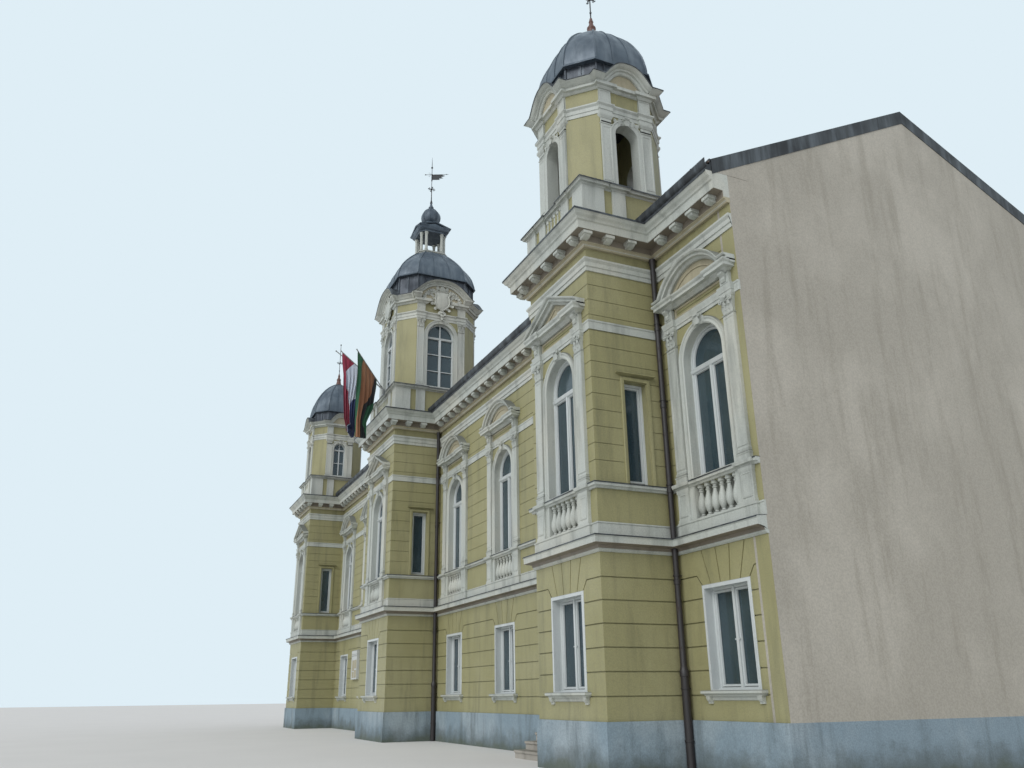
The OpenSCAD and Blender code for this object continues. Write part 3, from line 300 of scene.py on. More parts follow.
flagShades = {
    "flagGreen": ("#24513a", "#37684a"), "flagBlack": ("#1b1d20", "#2b2e31"), "flagOrange": ("#83593f", "#9a7053"),
    "flagBlue": ("#232f58", "#33426d"), "flagPale": ("#b9c3d2", "#cdd5df"), "flagMaroon": ("#7a2338", "#96384c"),
}
materials = {name: plasterMaterial(name) for name in finishes}
materials.update({name: clothMaterial(name, *shades) for name, shades in flagShades.items()})
for material in (
        plinthMaterial(), tileMaterial(), glassMaterial(),
        sheetMetal("brass", "#8a7440", "#6a5a34", 0.35, 0.9, 0.0005),
        sheetMetal("domeMetal", "#4c5863", "#3d4751", 0.5, 0.25),
        sheetMetal("skirtMetal", "#3f444c", "#33373e", 0.55),
        sheetMetal("flashing", "#303336", "#25272a", 0.6, 0.2, 0.004),
        paintedIron("rustPaint", "#5d3a30", "#7a4a34", 0.7),
        paintedIron("pipePaint", "#2a2626", "#43342d"),
        paintedIron("blackIron", "#26282a", "#4a3325"),
        paintedIron("poleMetal", "#8a8d8a", "#6b6a62", 0.6),
        woodMaterial("floorBoards", "#8d7355", "#5f4a35", (6, 0.4, 1)),
        woodMaterial("doorWood", "#5c4030", "#3c2a20", (5, 5, 0.35), 0.4)):
    materials[material.name] = material
print("materials:", len(materials))
slotOf = {
    "yellowPlaster": "yellow_plaster", "paleTrim": "pale_trim", "creamTrim": "pale_trim",
    "shadedPlaster": "pale_trim", "partyPlaster": "party_plaster", "stepStone": "step_stone",
    "windowPaint": "window_paint", "boardPaint": "board_paint", "brass": "iron", "domeMetal": "dome_metal",
    "skirtMetal": "dome_metal", "flashing": "gutter_metal", "rustPaint": "iron", "pipePaint": "pipe_metal",
    "blackIron": "iron", "poleMetal": "pole_metal", "roofTiles": "roof_tiles", "doorWood": "door_wood",
}


# shapes: everything below adds closed solids to a bmesh
def newPart():
    return bmesh.new()


# a profile or outline written in millimetres as "a b, a b", in metres from (x, z)
def mm(text, x=0.0, z=0.0, wide=1, tall=1):
    pairs = [pair.split() for pair in text.split(",")]
    return [(x + wide * (float(a) / 1000), z + tall * (float(b) / 1000)) for a, b in pairs]


def mirrored(half):
    return half + [(-x, y) for x, y in half[::-1]]


def middle(box):
    return (box[0] + box[1]) / 2


def onWall(u, v, out):
    return u, -out, v


def onPlan(u, v, z):
    return u, v, z


def loft(bm, rings, ends=True):
    made = [[bm.verts.new(p) for p in ring] for ring in rings]
    count = len(rings[0])
    for low, high in zip(made, made[1:] if ends else made[1:] + made[:1]):
        for k in range(count):
            bm.faces.new((low[k], low[(k + 1) % count], high[(k + 1) % count], high[k]))
    if ends:
        bm.faces.new(made[0][::-1])
        bm.faces.new(made[-1])


# a profile of (aside, out) carried along a flat path, mitred at its corners; aside is to the left
def sweep(bm, path, profile, closed=False, plumb=False, lay=onWall):
    rings = []
    count = len(path)
    for k, p in enumerate(path):
        p = Vector(p)
        ways = []
        if closed or k:
            ways.append((p - Vector(path[k - 1])).normalized())
        if closed or k < count - 1:
            ways.append((Vector(path[(k + 1) % count]) - p).normalized())
        sides = [Vector((-w.y, w.x)) for w in ways]
        if len(sides) == 2:
            offset = (sides[0] + sides[1]) / (1 + sides[0].dot(sides[1]))
        else:
            offset = Vector((0, 1 / sides[0].y)) if plumb else sides[0]
        rings.append([lay(*(p + offset * aside), out) for aside, out in profile])
    loft(bm, rings, not closed)


def rectPath(x0, x1, z0, z1):
    x0, x1 = sorted((x0, x1))
    return [(x0, z0), (x0, z1), (x1, z1), (x1, z0)]


# a moulding round a rectangle on the wall
def panel(bm, x0, x1, z0, z1, profile):
    sweep(bm, rectPath(x0, x1, z0, z1), profile, True)


# a moulding of (out, z) along a path in plan whose outside is on its right
def course(bm, path, profile, closed=False):
    sweep(bm, path, [(-out, z) for out, z in profile], closed, lay=onPlan)


# a moulding with returns, on the wall from x - half to x + half
def ledge(bm, x, half, out, profile, back=0.03):
    course(bm, [(x - half, back), (x - half, -out), (x + half, -out), (x + half, back)], profile)


# steps of a moulding above z, as (out, z) rows that close at the wall
def rows(z, steps, back=-0.03):
    return [(back, z + steps[0][1])] + [(out, z + up) for out, up in steps] + [(back, z + steps[-1][1])]


# an outline in plan carried from z0 up to z1
def prism(bm, outline, z0, z1):
    loft(bm, [[(x, y, z) for x, y in outline] for z in (z0, z1)])


def block(bm, x0, x1, y0, y1, z0, z1):
    x0, x1 = sorted((x0, x1))
    y0, y1 = sorted((y0, y1))
    prism(bm, ((x0, y0), (x1, y0), (x1, y1), (x0, y1)), z0, z1)


# a block from x - half to x + half
def post(bm, x, half, y0, y1, z0, z1):
    block(bm, x - half, x + half, y0, y1, z0, z1)


# a plate with an outline in X and Z, from y0 to y1
def slab(bm, outline, y0, y1):
    loft(bm, [[(x, y, z) for x, z in outline] for y in (y1, y0)])


# an outline of (y, z) from x0 to x1
def beam(bm, x0, x1, outline):
    loft(bm, [[(x, y, z) for y, z in outline] for x in (x0, x1)])


# an outline of (out, z) from x - half to x + half
def bracket(bm, x, half, outline):
    beam(bm, x - half, x + half, [(-out, z) for out, z in outline])


# a turned form from (radius, z); place turns and moves it
def turned(bm, profile, steps=16, place=Matrix()):
    ring = [(cos(2 * pi * k / steps), sin(2 * pi * k / steps)) for k in range(steps)]
    loft(bm, [[place @ Vector((r * c, r * s, z)) for c, s in ring] for r, z in profile])


# the place of a turned form that stands out from the wall
def outward(x, out, z, size=1.0):
    return Matrix.Translation((x, -out, z)) @ Matrix.Rotation(pi / 2, 4, "X") @ Matrix.Scale(size, 4)


def ballShape(r, z, steps=8):
    return [(max(0.002, r * sin(pi * k / steps)), z - r * cos(pi * k / steps)) for k in range(steps + 1)]


def arc(x, z, radius, start, end, steps):
    turns = [radians(start + (end - start) * k / steps) for k in range(steps + 1)]
    return [(x + radius * cos(a), z + radius * sin(a)) for a in turns]


def archPath(w, z0, spring, steps=20):
    return [(-w / 2, z0)] + arc(0, spring, w / 2, 180, 0, steps) + [(w / 2, z0)]


# a flat arc from one ear to the other, rising above z
def flatArc(half, rise, z, steps=20):
    radius = (half * half + rise * rise) / (2 * rise)
    spread = degrees(atan2(half, radius - rise))
    return arc(0, z + rise - radius, radius, 90 + spread, 90 - spread, steps)


# pieces and their copies
def asMesh(bm, name, smooth=None):
    bmesh.ops.recalc_face_normals(bm, faces=bm.faces)
    mesh = bpy.data.meshes.new(name)
    bm.to_mesh(mesh)
    bm.free()
    if smooth:
        mesh.shade_smooth()
        mesh.set_sharp_from_angle(angle=radians(smooth))
    return mesh


def addPiece(name, mesh, material, replaces=(), slot=None, body="building"):
    piece = bpy.data.objects.new(name, mesh)
    scene.collection.objects.link(piece)
    if not mesh.materials:
        mesh.materials.append(materials[material])
    slot = slot or slotOf[material]
    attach(piece, body)
    if replaces:
        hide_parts(*replaces)
    return piece


def piece(name, bm, material, replaces=(), smooth=35, at=(0, 0), slot=None, body="building"):
    mesh = asMesh(bm, name, smooth)
    mesh.transform(Matrix.Translation((*at, 0)))
    return addPiece(name, mesh, material, replaces, slot, body)


# adds a finished part to another at each (x, y, z, turn)
def copyInto(bm, part, spots):
    mesh = asMesh(part, "part")
    for x, y, z, turn in spots:
        copy = mesh.copy()
        copy.transform(Matrix.Translation((x, y, z)) @ Matrix.Rotation(radians(turn), 4, "Z"))
        bm.from_mesh(copy)
        bpy.data.meshes.remove(copy)
    bpy.data.meshes.remove(mesh)


# one Geometry Nodes tree puts copies of a part on points, each with its own turn
def copiesTree():
    tree = bpy.data.node_groups.new("copiesOnSpots", "GeometryNodeTree")
    for key, kind in (("Spots", "Geometry"), ("Part", "Object"), ("Finish", "Material"), ("Scale", "Float")):
        tree.interface.new_socket(key, in_out="INPUT", socket_type="NodeSocket" + kind)
    tree.interface.new_socket("Copies", in_out="OUTPUT", socket_type="NodeSocketGeometry")
    given = put(tree, "NodeGroupInput").outputs
    turn = put(tree, "GeometryNodeInputNamedAttribute", {"Name": "turn"}).outputs[0]
    angle = put(tree, "ShaderNodeCombineXYZ", {2: turn}).outputs[0]
    part = put(tree, "GeometryNodeObjectInfo", {"Object": given["Part"]}).outputs["Geometry"]
    spread = put(tree, "GeometryNodeInstanceOnPoints", {
        "Points": given["Spots"], "Instance": part, "Rotation": angle, "Scale": given["Scale"]})
    real = put(tree, "GeometryNodeRealizeInstances", {0: spread.outputs[0]})
    coated = put(tree, "GeometryNodeSetMaterial", {"Geometry": real.outputs[0], "Material": given["Finish"]})
    tree.links.new(coated.outputs[0], put(tree, "NodeGroupOutput").inputs[0])
    return tree


copies = copiesTree()


# the mesh that an object's modifiers make; the objects go
def evaluated(holder, tools=()):
    bpy.context.view_layer.update()
    done = bpy.data.meshes.new_from_object(holder.evaluated_get(bpy.context.evaluated_depsgraph_get()))
    holder.modifiers.clear()
    for thing in (holder, *tools):
        bpy.data.objects.remove(thing)
    return done


# repeats a part over spots of (x, y, z, turn in degrees) as one joined piece
def repeat(name, bm, spots, material, replaces=(), smooth=35):
    model = bpy.data.objects.new(name + "_model", asMesh(bm, name + "_model", smooth))
    points = bpy.data.meshes.new(name + "_spots")
    points.from_pydata([spot[:3] for spot in spots], [], [])
    turns = [radians(spot[3]) for spot in spots]
    points.attributes.new("turn", "FLOAT", "POINT").data.foreach_set("value", turns)
    holder = bpy.data.objects.new(name + "_holder", points)
    scene.collection.objects.link(model)
    scene.collection.objects.link(holder)
    values = {"Part": model, "Finish": materials[material], "Scale": 1.0}
    modifier = holder.modifiers.new("nodes", "NODES")
    modifier.node_group = copies
    for item in copies.interface.items_tree:
        if item.in_out == "INPUT" and item.name in values:
            modifier[item.identifier] = values[item.name]
    holder.update_tag()
    mesh = evaluated(holder, (model,))
    mesh.name = name
    return addPiece(name, mesh, material, replaces)


# boxes of the separate solids of a CAD node, as (lowest, highest)
def looseBoxes(node):
    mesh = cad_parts[node].data
    keys, owner = {}, []
    for vertex in mesh.vertices:
        spot = tuple(round(c, 4) for c in vertex.co)
        keys.setdefault(spot, len(keys))
        owner.append(keys[spot])
    root = list(range(len(keys)))

    def find(k):
        while root[k] != k:
            root[k] = root[root[k]]
            k = root[k]
        return k

    for face in mesh.polygons:
        ids = [find(owner[v]) for v in face.vertices]
        for k in ids[1:]:
            root[find(k)] = find(ids[0])
    found = {}
    for spot, k in keys.items():
        found.setdefault(find(k), []).append(Vector(spot))
    return [(Vector(map(min, zip(*pts))), Vector(map(max, zip(*pts)))) for pts in found.values()]


# window spots as (x, y, z, turn), with y on the wall's outer face
pane = {"set": 0.21, "thick": 0.1}  # from the wall's face to the pane, and what no pane's thickness reaches


def windowSpots(node):
    spots = {"wing": [], "pavilion": [], "back": [], "side": []}
    eastward = (-plan["sideIn"], plan["centreHalf"], plan["sideOut"])
    for low, high in looseBoxes(node):
        at = middle((low, high))
        if high.x - low.x < pane["thick"]:
            east = min(abs(low.x - x) for x in eastward) < 0.5
            face = high.x + pane["set"] if east else low.x - pane["set"]
            spots["side"].append((face, at.y, 0, 90 if east else -90))
        elif at.y > 0:
            spots["back"].append((at.x, plan["back"], 0, 180))
        elif at.y < plan["wing"]:
            spots["pavilion"].append((at.x, plan["front"], 0, 0))
        else:
            spots["wing"].append((at.x, plan["wing"], 0, 0))
    return {key: sorted(value) for key, value in spots.items()}


upperSpots = windowSpots("upper_window_glass")
groundSpots = windowSpots("ground_window_glass")
frontSpots = upperSpots["wing"] + upperSpots["pavilion"]
groundAll = groundSpots["wing"] + groundSpots["pavilion"] + groundSpots["back"]


# the street front's plan, ending so far past the party walls
def frontPath(past):
    w, f = plan["wing"], plan["front"]
    return mirrored([(-plan["party"] - past, w), (-plan["sideOut"], w), (-plan["sideOut"], f), (-plan["sideIn"], f),
                     (-plan["sideIn"], w), (-plan["centreHalf"], w), (-plan["centreHalf"], f)])


# upper window bays: surround, pilasters, entablature and pediment, drawn round an axis at x = 0
upperPane = next(box for box in looseBoxes("upper_window_glass")
                 if box[0].y < plan["wing"] and box[1].x - box[0].x > 1)
upperWindow = {
    "width": upperPane[1].x - upperPane[0].x,
    "low": upperPane[0].z,
    "top": upperPane[1].z,
    "bar": 0.062,
    "transomDrop": 0.155,
}
upperWindow["spring"] = upperWindow["top"] - upperWindow["width"] / 2
bay = {
    "pilasterX": 0.9,
    "pilasterW": 0.33,
    "shaftOut": 0.06,
    "capitalHigh": 0.35,
    "blockHigh": 0.445,
    "corniceHigh": 0.19,
    "rise": 0.62,
    "earHalf": 1.175,
    "bandHigh": 0.2,
}
archivolt = mm("-12 -240, -12 25, 12 40, 30 30, 75 30, 82 45, 112 52, 130 20, 130 -10, 0 -10, 0 -240")
scroll = mm("45 0, 50 15, 42 30, 30 30, 26 22, 18 22, 15 40, 4 44")
pilasterBase = mm("20 0, 20 100, 30 112, 32 130, 20 145, 8 155, 16 170, 18 190, 6 200, 0 235")
cornicePart = mm("20 0, 30 20, 75 45, 85 60, 165 65, 165 120, 190 145, 200 160, 200 190")
rimPart = mm("-160 -30, -160 100, -145 120, -110 135, -100 200, -50 205, -40 250, -12 270, 0 270, 0 -30")


# a pointed leaf that leans out and curls over at its tip; turn leans it sideways, in degrees
def leaf(bm, x, z, w, high, out, lean, turn=0):
    c, s = cos(radians(turn)), sin(radians(turn))
    rings = []
    for t in (0, 0.25, 0.5, 0.75, 0.92, 1.0):
        half = w / 2 * (0.7 + 0.45 * sin(pi * t)) * (1 if t < 0.8 else 0.75)
        up = high * (t if t < 0.8 else 1.0 - 0.6 * (t - 0.8))
        away = out + lean * t ** 2.5
        section = [(-half, away, up), (0, away + 0.016, up), (half, away, up), (0, away - 0.014, up - 0.004)]
        rings.append([(x + c * u - s * v, -d, z + s * u + c * v) for u, d, v in section])
    loft(bm, rings)


def scrollDisc(bm, x, out, z, size=1.0):
    turned(bm, scroll, 12, outward(x, out, z, size))


# a leafy capital from z upwards, on a pilaster of width w
def capital(bm, x, z, w, high, out):
    half, lid = w / 2, z + high * 0.86
    ledge(bm, x, half * 0.8, out, rows(z, [(0, 0), (0.004, high * 0.4), (0.03, high * 0.86)]))
    ledge(bm, x, half * 0.86, out, rows(z - 0.02, mm("10 0, 20 12, 10 25")))
    ledge(bm, x, half, out + 0.015, rows(lid, mm("0 0, 10 15, 12 30") + [(0.02, high * 0.14)]))
    for k in (-1, 0, 1):
        leaf(bm, x + k * w * 0.29, z, w * 0.28, high * 0.46, out, 0.05)
    for k in (-0.5, 0.5):
        leaf(bm, x + k * w * 0.36, z + high * 0.22, w * 0.26, high * 0.5, out + 0.012, 0.055)
    for k in (-1, 1):
        scrollDisc(bm, x + k * half * 0.82, out + 0.03, z + high * 0.75, w * 3)
        scrollDisc(bm, x + k * half * 0.2, out + 0.03, z + high * 0.74, w * 1.9)
    turned(bm, mm("30 0, 36 20, 16 36"), 8, outward(x, out + 0.04, z + high * 0.92))


def pilaster(bm, x, z0, z1, w, out):
    half = w / 2 - 0.02
    ledge(bm, x, half, out, rows(z0, pilasterBase))
    post(bm, x, half, -out, 0.03, z0 + 0.2, z1)
    panel(bm, x - half + 0.001, x + half - 0.001, z0 + 0.26, z1 - 0.04,
          mm("-45 -10, -45 2, -35 9, 0 9, 0 -10", z=out))


# white work of one bay; arched pediments stand on the wings and pointed ones on the pavilions
def bayPart(arched):
    bm = newPart()
    w, low, spring, top = (upperWindow[k] for k in ("width", "low", "spring", "top"))
    x, pw, z = bay["pilasterX"], bay["pilasterW"], level["capital"]
    half, keyZ = pw / 2, top - 0.02
    zCapital, zBlock, zCornice = z - bay["capitalHigh"], z + bay["bandHigh"], z + bay["blockHigh"]
    sweep(bm, archPath(w, low - 0.03, spring, 28), archivolt)
    post(bm, 0, w / 2, -0.06, 0.17, low - 0.035, low)
    bracket(bm, 0, 0.07, mm("0 0, 50 0, 85 30, 90 80, 65 110, 75 150, 120 185, 120 215, 0 215", z=keyZ))
    leaf(bm, 0, keyZ + 0.01, 0.16, 0.15, 0.085, 0.045)
    for k in (-1, 1):
        u = k * x
        scrollDisc(bm, k * 0.07, 0.085, keyZ + 0.17, 0.8)
        leaf(bm, k * 0.13, keyZ + 0.03, 0.1, 0.13, 0.03, 0.04)
        pilaster(bm, u, level["sill"], zCapital, pw, bay["shaftOut"])
        capital(bm, u, zCapital, pw, bay["capitalHigh"], bay["shaftOut"])
        ledge(bm, u, half, 0.08, rows(z, mm("0 0, 0 70, 12 80, 12 130, 30 165, 32 200")))
        post(bm, u, 0.125, -0.075, 0.03, zBlock, zCornice)
        panel(bm, u - 0.1, u + 0.1, zBlock + 0.03, zCornice - 0.04, mm("-30 70, -20 88, 0 88, 0 70"))
        bracket(bm, u, 0.06, mm("70 -190, 100 -180, 125 -130, 110 -80, 170 -30, 170 10, 70 10", z=zCornice))
    ledge(bm, 0, x - half, 0.02, rows(z, mm("0 0, 0 60, 14 70, 14 130, 35 170, 35 200")))
    ear, jog = bay["earHalf"] - 0.2, x - 0.2
    ends = [(-ear, 0.03), (-ear, -0.08), (-jog, -0.08), (-jog, -0.04)]
    course(bm, mirrored(ends), rows(zCornice, cornicePart))
    half, foot, rise = bay["earHalf"], zCornice + bay["corniceHigh"] + 0.09, bay["rise"] - 0.09
    line = flatArc(half - 0.2, rise, foot, 24) if arched else [(0, foot + rise)]
    sweep(bm, [(-half, foot)] + line + [(half, foot)], rimPart, plumb=True)
    return bm


# the recessed fields in cream: the gable's, and the one in the band under it
def fieldPart(arched):
    bm = newPart()
    z = level["capital"] + bay["blockHigh"] + bay["corniceHigh"] - 0.01
    half, rise = bay["earHalf"] - 0.2, bay["rise"] - 0.12
    if arched:
        outer = flatArc(half - 0.02, rise, z + 0.06, 20)[::-1]
        inner = flatArc(half - 0.34, rise - 0.23, z + 0.1, 16)
    else:
        outer = [(0, z + rise + 0.05)]
        inner = [(-half + 0.42, z + 0.05), (0, z + rise - 0.13), (half - 0.42, z + 0.05)]
    slab(bm, [(half, z)] + outer + [(-half, z)], 0.03, -0.05)
    sweep(bm, inner, mm("-30 40, -20 70, 0 70, 0 40"), True)
    z0, z1, side = level["capital"] + bay["bandHigh"], level["capital"] + bay["blockHigh"], bay["pilasterX"] - 0.17
    panel(bm, -side, side, z0 + 0.03, z1 - 0.02, mm("-35 -10, -35 12, -20 22, 0 22, 0 -10"))
    return bm


bm = newPart()
for k in (-1, 1):
    block(bm, k * (plan["party"] - 0.32), k * (plan["party"] - 0.004), plan["wing"] - 0.004, plan["wing"] + 0.02,
          level["plinth"], level["cornice"])
piece("party_fronts", bm, "yellowPlaster")
repeat("wing_bays", bayPart(True), upperSpots["wing"], "paleTrim", ("window_surrounds", "pilasters", "pediments"))
repeat("pavilion_bays", bayPart(False), upperSpots["pavilion"], "paleTrim")
repeat("wing_fields", fieldPart(True), upperSpots["wing"], "creamTrim")
repeat("pavilion_fields", fieldPart(False), upperSpots["pavilion"], "creamTrim")
print("bays:", len(frontSpots))

# window breasts: pedestals, sill blocks and turned balusters
breast = {"half": 1.095, "out": 0.07, "pedestal": 0.33, "balusters": 6, "baseHigh": 0.24, "railHigh": 0.11,
          "set": 0.06, "swell": 1.22, "plate": (0.235, 0.262)}
balusterShape = mm("56 0, 56 45, 34 60, 30 85, 44 110, 62 160, 70 215, 69 270, 60 330, 46 390, 34 440, 30 480, "
                   "42 495, 42 510, 31 520, 34 550, 56 567, 56 620")


# a row of balusters between x - half and x + half, from z0 to z1
def balusterRow(bm, x, half, count, y, z0, z1, swell, steps):
    shape = [(r * swell, z * (z1 - z0) / balusterShape[-1][1]) for r, z in balusterShape]
    for k in range(count):
        turned(bm, shape, steps, Matrix.Translation((x + (k + 0.5 - count / 2) * 2 * half / count, y, z0)))


def breastPart():
    bm = newPart()
    z0, z1 = level["base"], level["sill"] - breast["railHigh"]
    zRow, out, half = z0 + breast["baseHigh"], breast["out"], breast["pedestal"] / 2
    side, end = upperWindow["width"] / 2, bay["pilasterX"] - half
    ledge(bm, 0, breast["half"], out, rows(z0, mm("0 0, 0 190, 14 205, 14 240")))
    for k in (-1, 1):
        x = k * bay["pilasterX"]
        steps = mm("12 0, 12 50, 0 70, 0 540, 12 560") + [(0.012, z1 - zRow)]
        ledge(bm, x, half, out, rows(zRow, steps))
        panel(bm, x - half + 0.04, x + half - 0.04, zRow + 0.1, z1 - 0.1, mm("-30 60, -20 79, 0 79, 0 60"))
        ledge(bm, x, half + 0.01, out, rows(z1, mm("0 0, 20 35, 60 45, 72 90, 62 112")))
        block(bm, k * (side - 0.012), k * end, -0.03, 0.25, zRow - 0.01, z1 + 0.01)
    balusterRow(bm, 0, side, breast["balusters"], breast["set"], zRow, z1, breast["swell"], 12)
    post(bm, 0, side, *breast["plate"], zRow, z1)
    return bm


repeat("window_breasts", breastPart(), frontSpots, "paleTrim", ("balustrades",))


# bands that run round the street front: base and wall bands in white, dark metal over every course
def bandPiece(name, profiles, material, past=0.004):
    bm = newPart()
    for profile in profiles:
        course(bm, frontPath(past), profile)
    return piece(name, bm, material)


bandPiece("wall_bands", [
    rows(level["base"], mm("16 0, 16 205, 28 215, 28 240"), -0.02),
    rows(level["capital"] + 0.005, mm("18 0, 18 150, 32 165, 32 195"), -0.02),
    rows(level["belt"] - 0.06, mm("20 0, 50 30, 50 60"), -0.02)], "paleTrim")
bandPiece("flashings", [
    mm("-10 4, -10 -4, 200 -30, 212 -45, 216 -42, 204 -20", z=level["base"]),
    mm("-10 4, -10 -4, 100 -4, 106 -20, 110 -18, 104 4", z=level["sill"])], "flashing")

# window joinery, drawn round an axis at x = 0 with the wall's face at y = 0
outerBar = mm("-50 -210, -50 -165, -40 -150, 0 -150, 0 -210")
sashBar = mm("-38 -205, -38 -180, -30 -165, 0 -165, 0 -205")
casing = mm("-12 -210, -12 16, 45 16, 55 8, 55 -10, 0 -10, 0 -210")
lap = 0.004  # how far a sash goes into its frame


def upperFramePart():
    bm = newPart()
    w, low, spring, bar = (upperWindow[k] for k in ("width", "low", "spring", "bar"))
    transom = spring - upperWindow["transomDrop"]
    sweep(bm, archPath(w, low, spring, 28), outerBar, True)
    bracket(bm, 0, w / 2, mm("-210 -40, -140 -40, -125 -10, -120 20, -150 45, -210 45", z=transom))
    post(bm, 0, bar / 2, 0.145, 0.21, low + 0.02, transom)
    for k in (-1, 1):
        panel(bm, k * (bar / 2 - lap), k * (w / 2 - bar + lap), low + bar - lap, transom - 0.036, sashBar)
    sweep(bm, archPath(w - 2 * bar + 2 * lap, transom + 0.04, spring, 24), sashBar, True)
    return bm


groundPanes = looseBoxes("ground_window_glass")
ground = {"low": min(box[0].z for box in groundPanes), "top": max(box[1].z for box in groundPanes), "bar": 0.062}


def groundFramePart():
    bm = newPart()
    half, bar, low, top = upperWindow["width"] / 2, ground["bar"], ground["low"], ground["top"]
    for profile in (casing, outerBar):
        panel(bm, -half, half, low, top, profile)
    post(bm, 0, bar / 2, 0.14, 0.21, low + 0.02, top - 0.02)
    post(bm, 0, half, 0.12, 0.2, low, low + 0.035)
    for k in (-1, 1):
        panel(bm, k * (bar / 2 - lap), k * (half - bar + lap), low + bar - lap, top - bar + lap, sashBar)
        turned(bm, mm("12 0, 14 30, 6 35"), 8, outward(k * 0.05, -0.165, low + 0.8))
    return bm


narrow = {"half": 0.25, "high": 2.05, "bar": 0.058}


def narrowFramePart():
    bm = newPart()
    half, low, top, bar = narrow["half"], upperWindow["low"], upperWindow["low"] + narrow["high"], narrow["bar"]
    panel(bm, -half, half, low, top, outerBar)
    panel(bm, -half + bar, half - bar, low + bar, top - bar, sashBar)
    return bm


# the raised yellow surround and hood of a narrow window
def narrowSurroundPart():
    bm = newPart()
    half, low, top = narrow["half"], level["sill"], upperWindow["low"] + narrow["high"]
    sweep(bm, rectPath(-half, half, low, top), mm("12 -20, 12 30, 30 36, 75 36, 85 22, 85 -20"))
    ledge(bm, 0, half + 0.1, 0, rows(top + 0.11, mm("20 0, 50 20, 90 35, 90 60, 80 70")))
    return bm


repeat("upper_joinery", upperFramePart(), frontSpots + upperSpots["back"], "windowPaint", ("upper_window_frames",))
repeat("narrow_joinery", narrowFramePart(), upperSpots["side"], "windowPaint")
repeat("narrow_surrounds", narrowSurroundPart(), upperSpots["side"], "yellowPlaster")
repeat("ground_joinery", groundFramePart(), groundAll, "windowPaint", ("ground_window_frames",))
print("joinery done")

# parapets: piers, a blind balustrade and a cap that breaks forward over the piers
parapet = {"pier": 0.4, "strip": 0.2, "inner": 0.3, "break": 0.04, "baseHigh": 0.1, "capHigh": 0.13,
           "balusterGap": 0.17}
sideRuns = [(0, 0.5), (0.7, 1.03), (2.36, 2.36 + 0.36)]  # piers on a parapet's sides, from the front


def pierRuns(half):
    p, s, w = parapet["pier"], parapet["strip"], parapet["inner"]
    return [(-half, -half + p), (-half + p + s, -half + p + s + w), (half - p - s - w, half - p - s), (half - p, half)]


# plan of a parapet's cap, from the roof round the front to the roof again, with its breaks
def capPath(x, half):
    p = parapet["break"]
    side, front = [], []
    for low, high in sideRuns[::-1]:
        side += [(half, high), (half + p, high), (half + p, low), (half, low)]
    side = side[:-2] + [(half + p, -p)]
    for low, high in pierRuns(half):
        front += [(low, 0), (low, -p), (high, -p), (high, 0)]
    line = [(-u, v) for u, v in side] + front[2:-2] + side[::-1]
    return [(x + u, plan["front"] + v) for u, v in line]


def parapetParts(x, half, white, yellow, dark):
    y0, z0, z1, lift = plan["front"], level["eaves"], level["parapet"], parapet["break"]
    zBase, zCap = z0 + parapet["baseHigh"], z1 - parapet["capHigh"]
    back = max(box[1].y for box in looseBoxes("parapets") if abs(middle(box).x - x) < 1)
    post(yellow, x, half, y0, back, z0 - 0.01, zCap + 0.03)
    for low, high in pierRuns(half):
        left, right = low == -half, high == half
        block(white, x + low - lift * left, x + high + lift * right, y0 - lift,
              y0 + (sideRuns[0][1] if left or right else 0.05), z0, zCap + 0.01)
    for s in (-1, 1):
        for low, high in sideRuns[1:]:
            block(white, x + s * (half - 0.05), x + s * (half + lift), y0 + low, y0 + high, z0, zCap + 0.01)
    deep = y0 + sideRuns[-1][1]
    ring = [(x - half, deep), (x - half, y0), (x + half, y0), (x + half, deep)]
    course(white, ring, rows(z0, mm("50 0, 50 70, 42 85, 42 100")))
    path = capPath(x, half)
    course(white, path, rows(zCap, mm("0 0, 20 20, 30 35, 80 50, 85 90, 105 110, 110 130"), -0.06))
    course(dark, path, mm("-160 45, -160 -5, 105 -12, 118 -30, 124 -28, 114 4", z=z1))
    inner = half - parapet["pier"] - parapet["strip"] - parapet["inner"]
    count = max(3, round(2 * inner / parapet["balusterGap"]))
    balusterRow(white, x, inner, count, y0 + 0.02, zBase, zCap, 1, 10)


white, yellow, dark = newPart(), newPart(), newPart()
for spot, half in ((0, plan["centreHalf"]), (plan["sideX"], plan["sideHalf"]), (-plan["sideX"], plan["sideHalf"])):
    parapetParts(spot, half, white, yellow, dark)
piece("parapet_walls", yellow, "yellowPlaster", ("parapets",))
piece("parapet_trim", white, "paleTrim")
piece("parapet_covers", dark, "flashing")
print("parapets done")

# belfries: squares with cut corners, an arched opening in each wide face
belfry = {"wall": 0.25, "sill": 0.1, "entablature": 0.92, "architrave": 0.27, "break": 0.04, "pilaster": 0.3,
          "lip": 0.25, "cornerOut": 0.26, "capital": 0.34, "plainCapital": 0.28}
sideTower = {"cut": 0.54, "opening": 0.60, "high": 1.69, "cornice": 0.26, "archHalf": 0.64, "rise": 0.45,
             "skirt": 0.61, "roundness": 0.6, "neck": 0.15, "leafy": False, "bars": 1}
towers = {
    "right": dict(sideTower, glazed=False),
    "centre": {"cut": 0.57, "opening": 1.04, "high": 2.49, "cornice": 0.33, "archHalf": 1.2, "rise": 0.66,
               "skirt": 0.92, "roundness": 0.35, "neck": 0.6, "leafy": True, "bars": 2, "glazed": True},
    "left": dict(sideTower, glazed=True),
}
for key, spec in towers.items():
    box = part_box(key + "_tower")
    spec["x"], spec["y"] = middle(box).xy
    spec["a"] = (box[1].x - box[0].x) / 2 - belfry["cornerOut"]
    spec["face"] = spec["a"] - spec["cut"]
    spec["z0"] = level["parapet"]
    spec["z2"], spec["top"] = lowest(key + "_dome").z, highest(key + "_dome").z
    spec["z1"] = spec["z2"] - belfry["entablature"]
    spec["zSill"] = spec["z0"] + belfry["sill"]
    spec["spring"] = spec["zSill"] + spec["high"] - spec["opening"] / 2
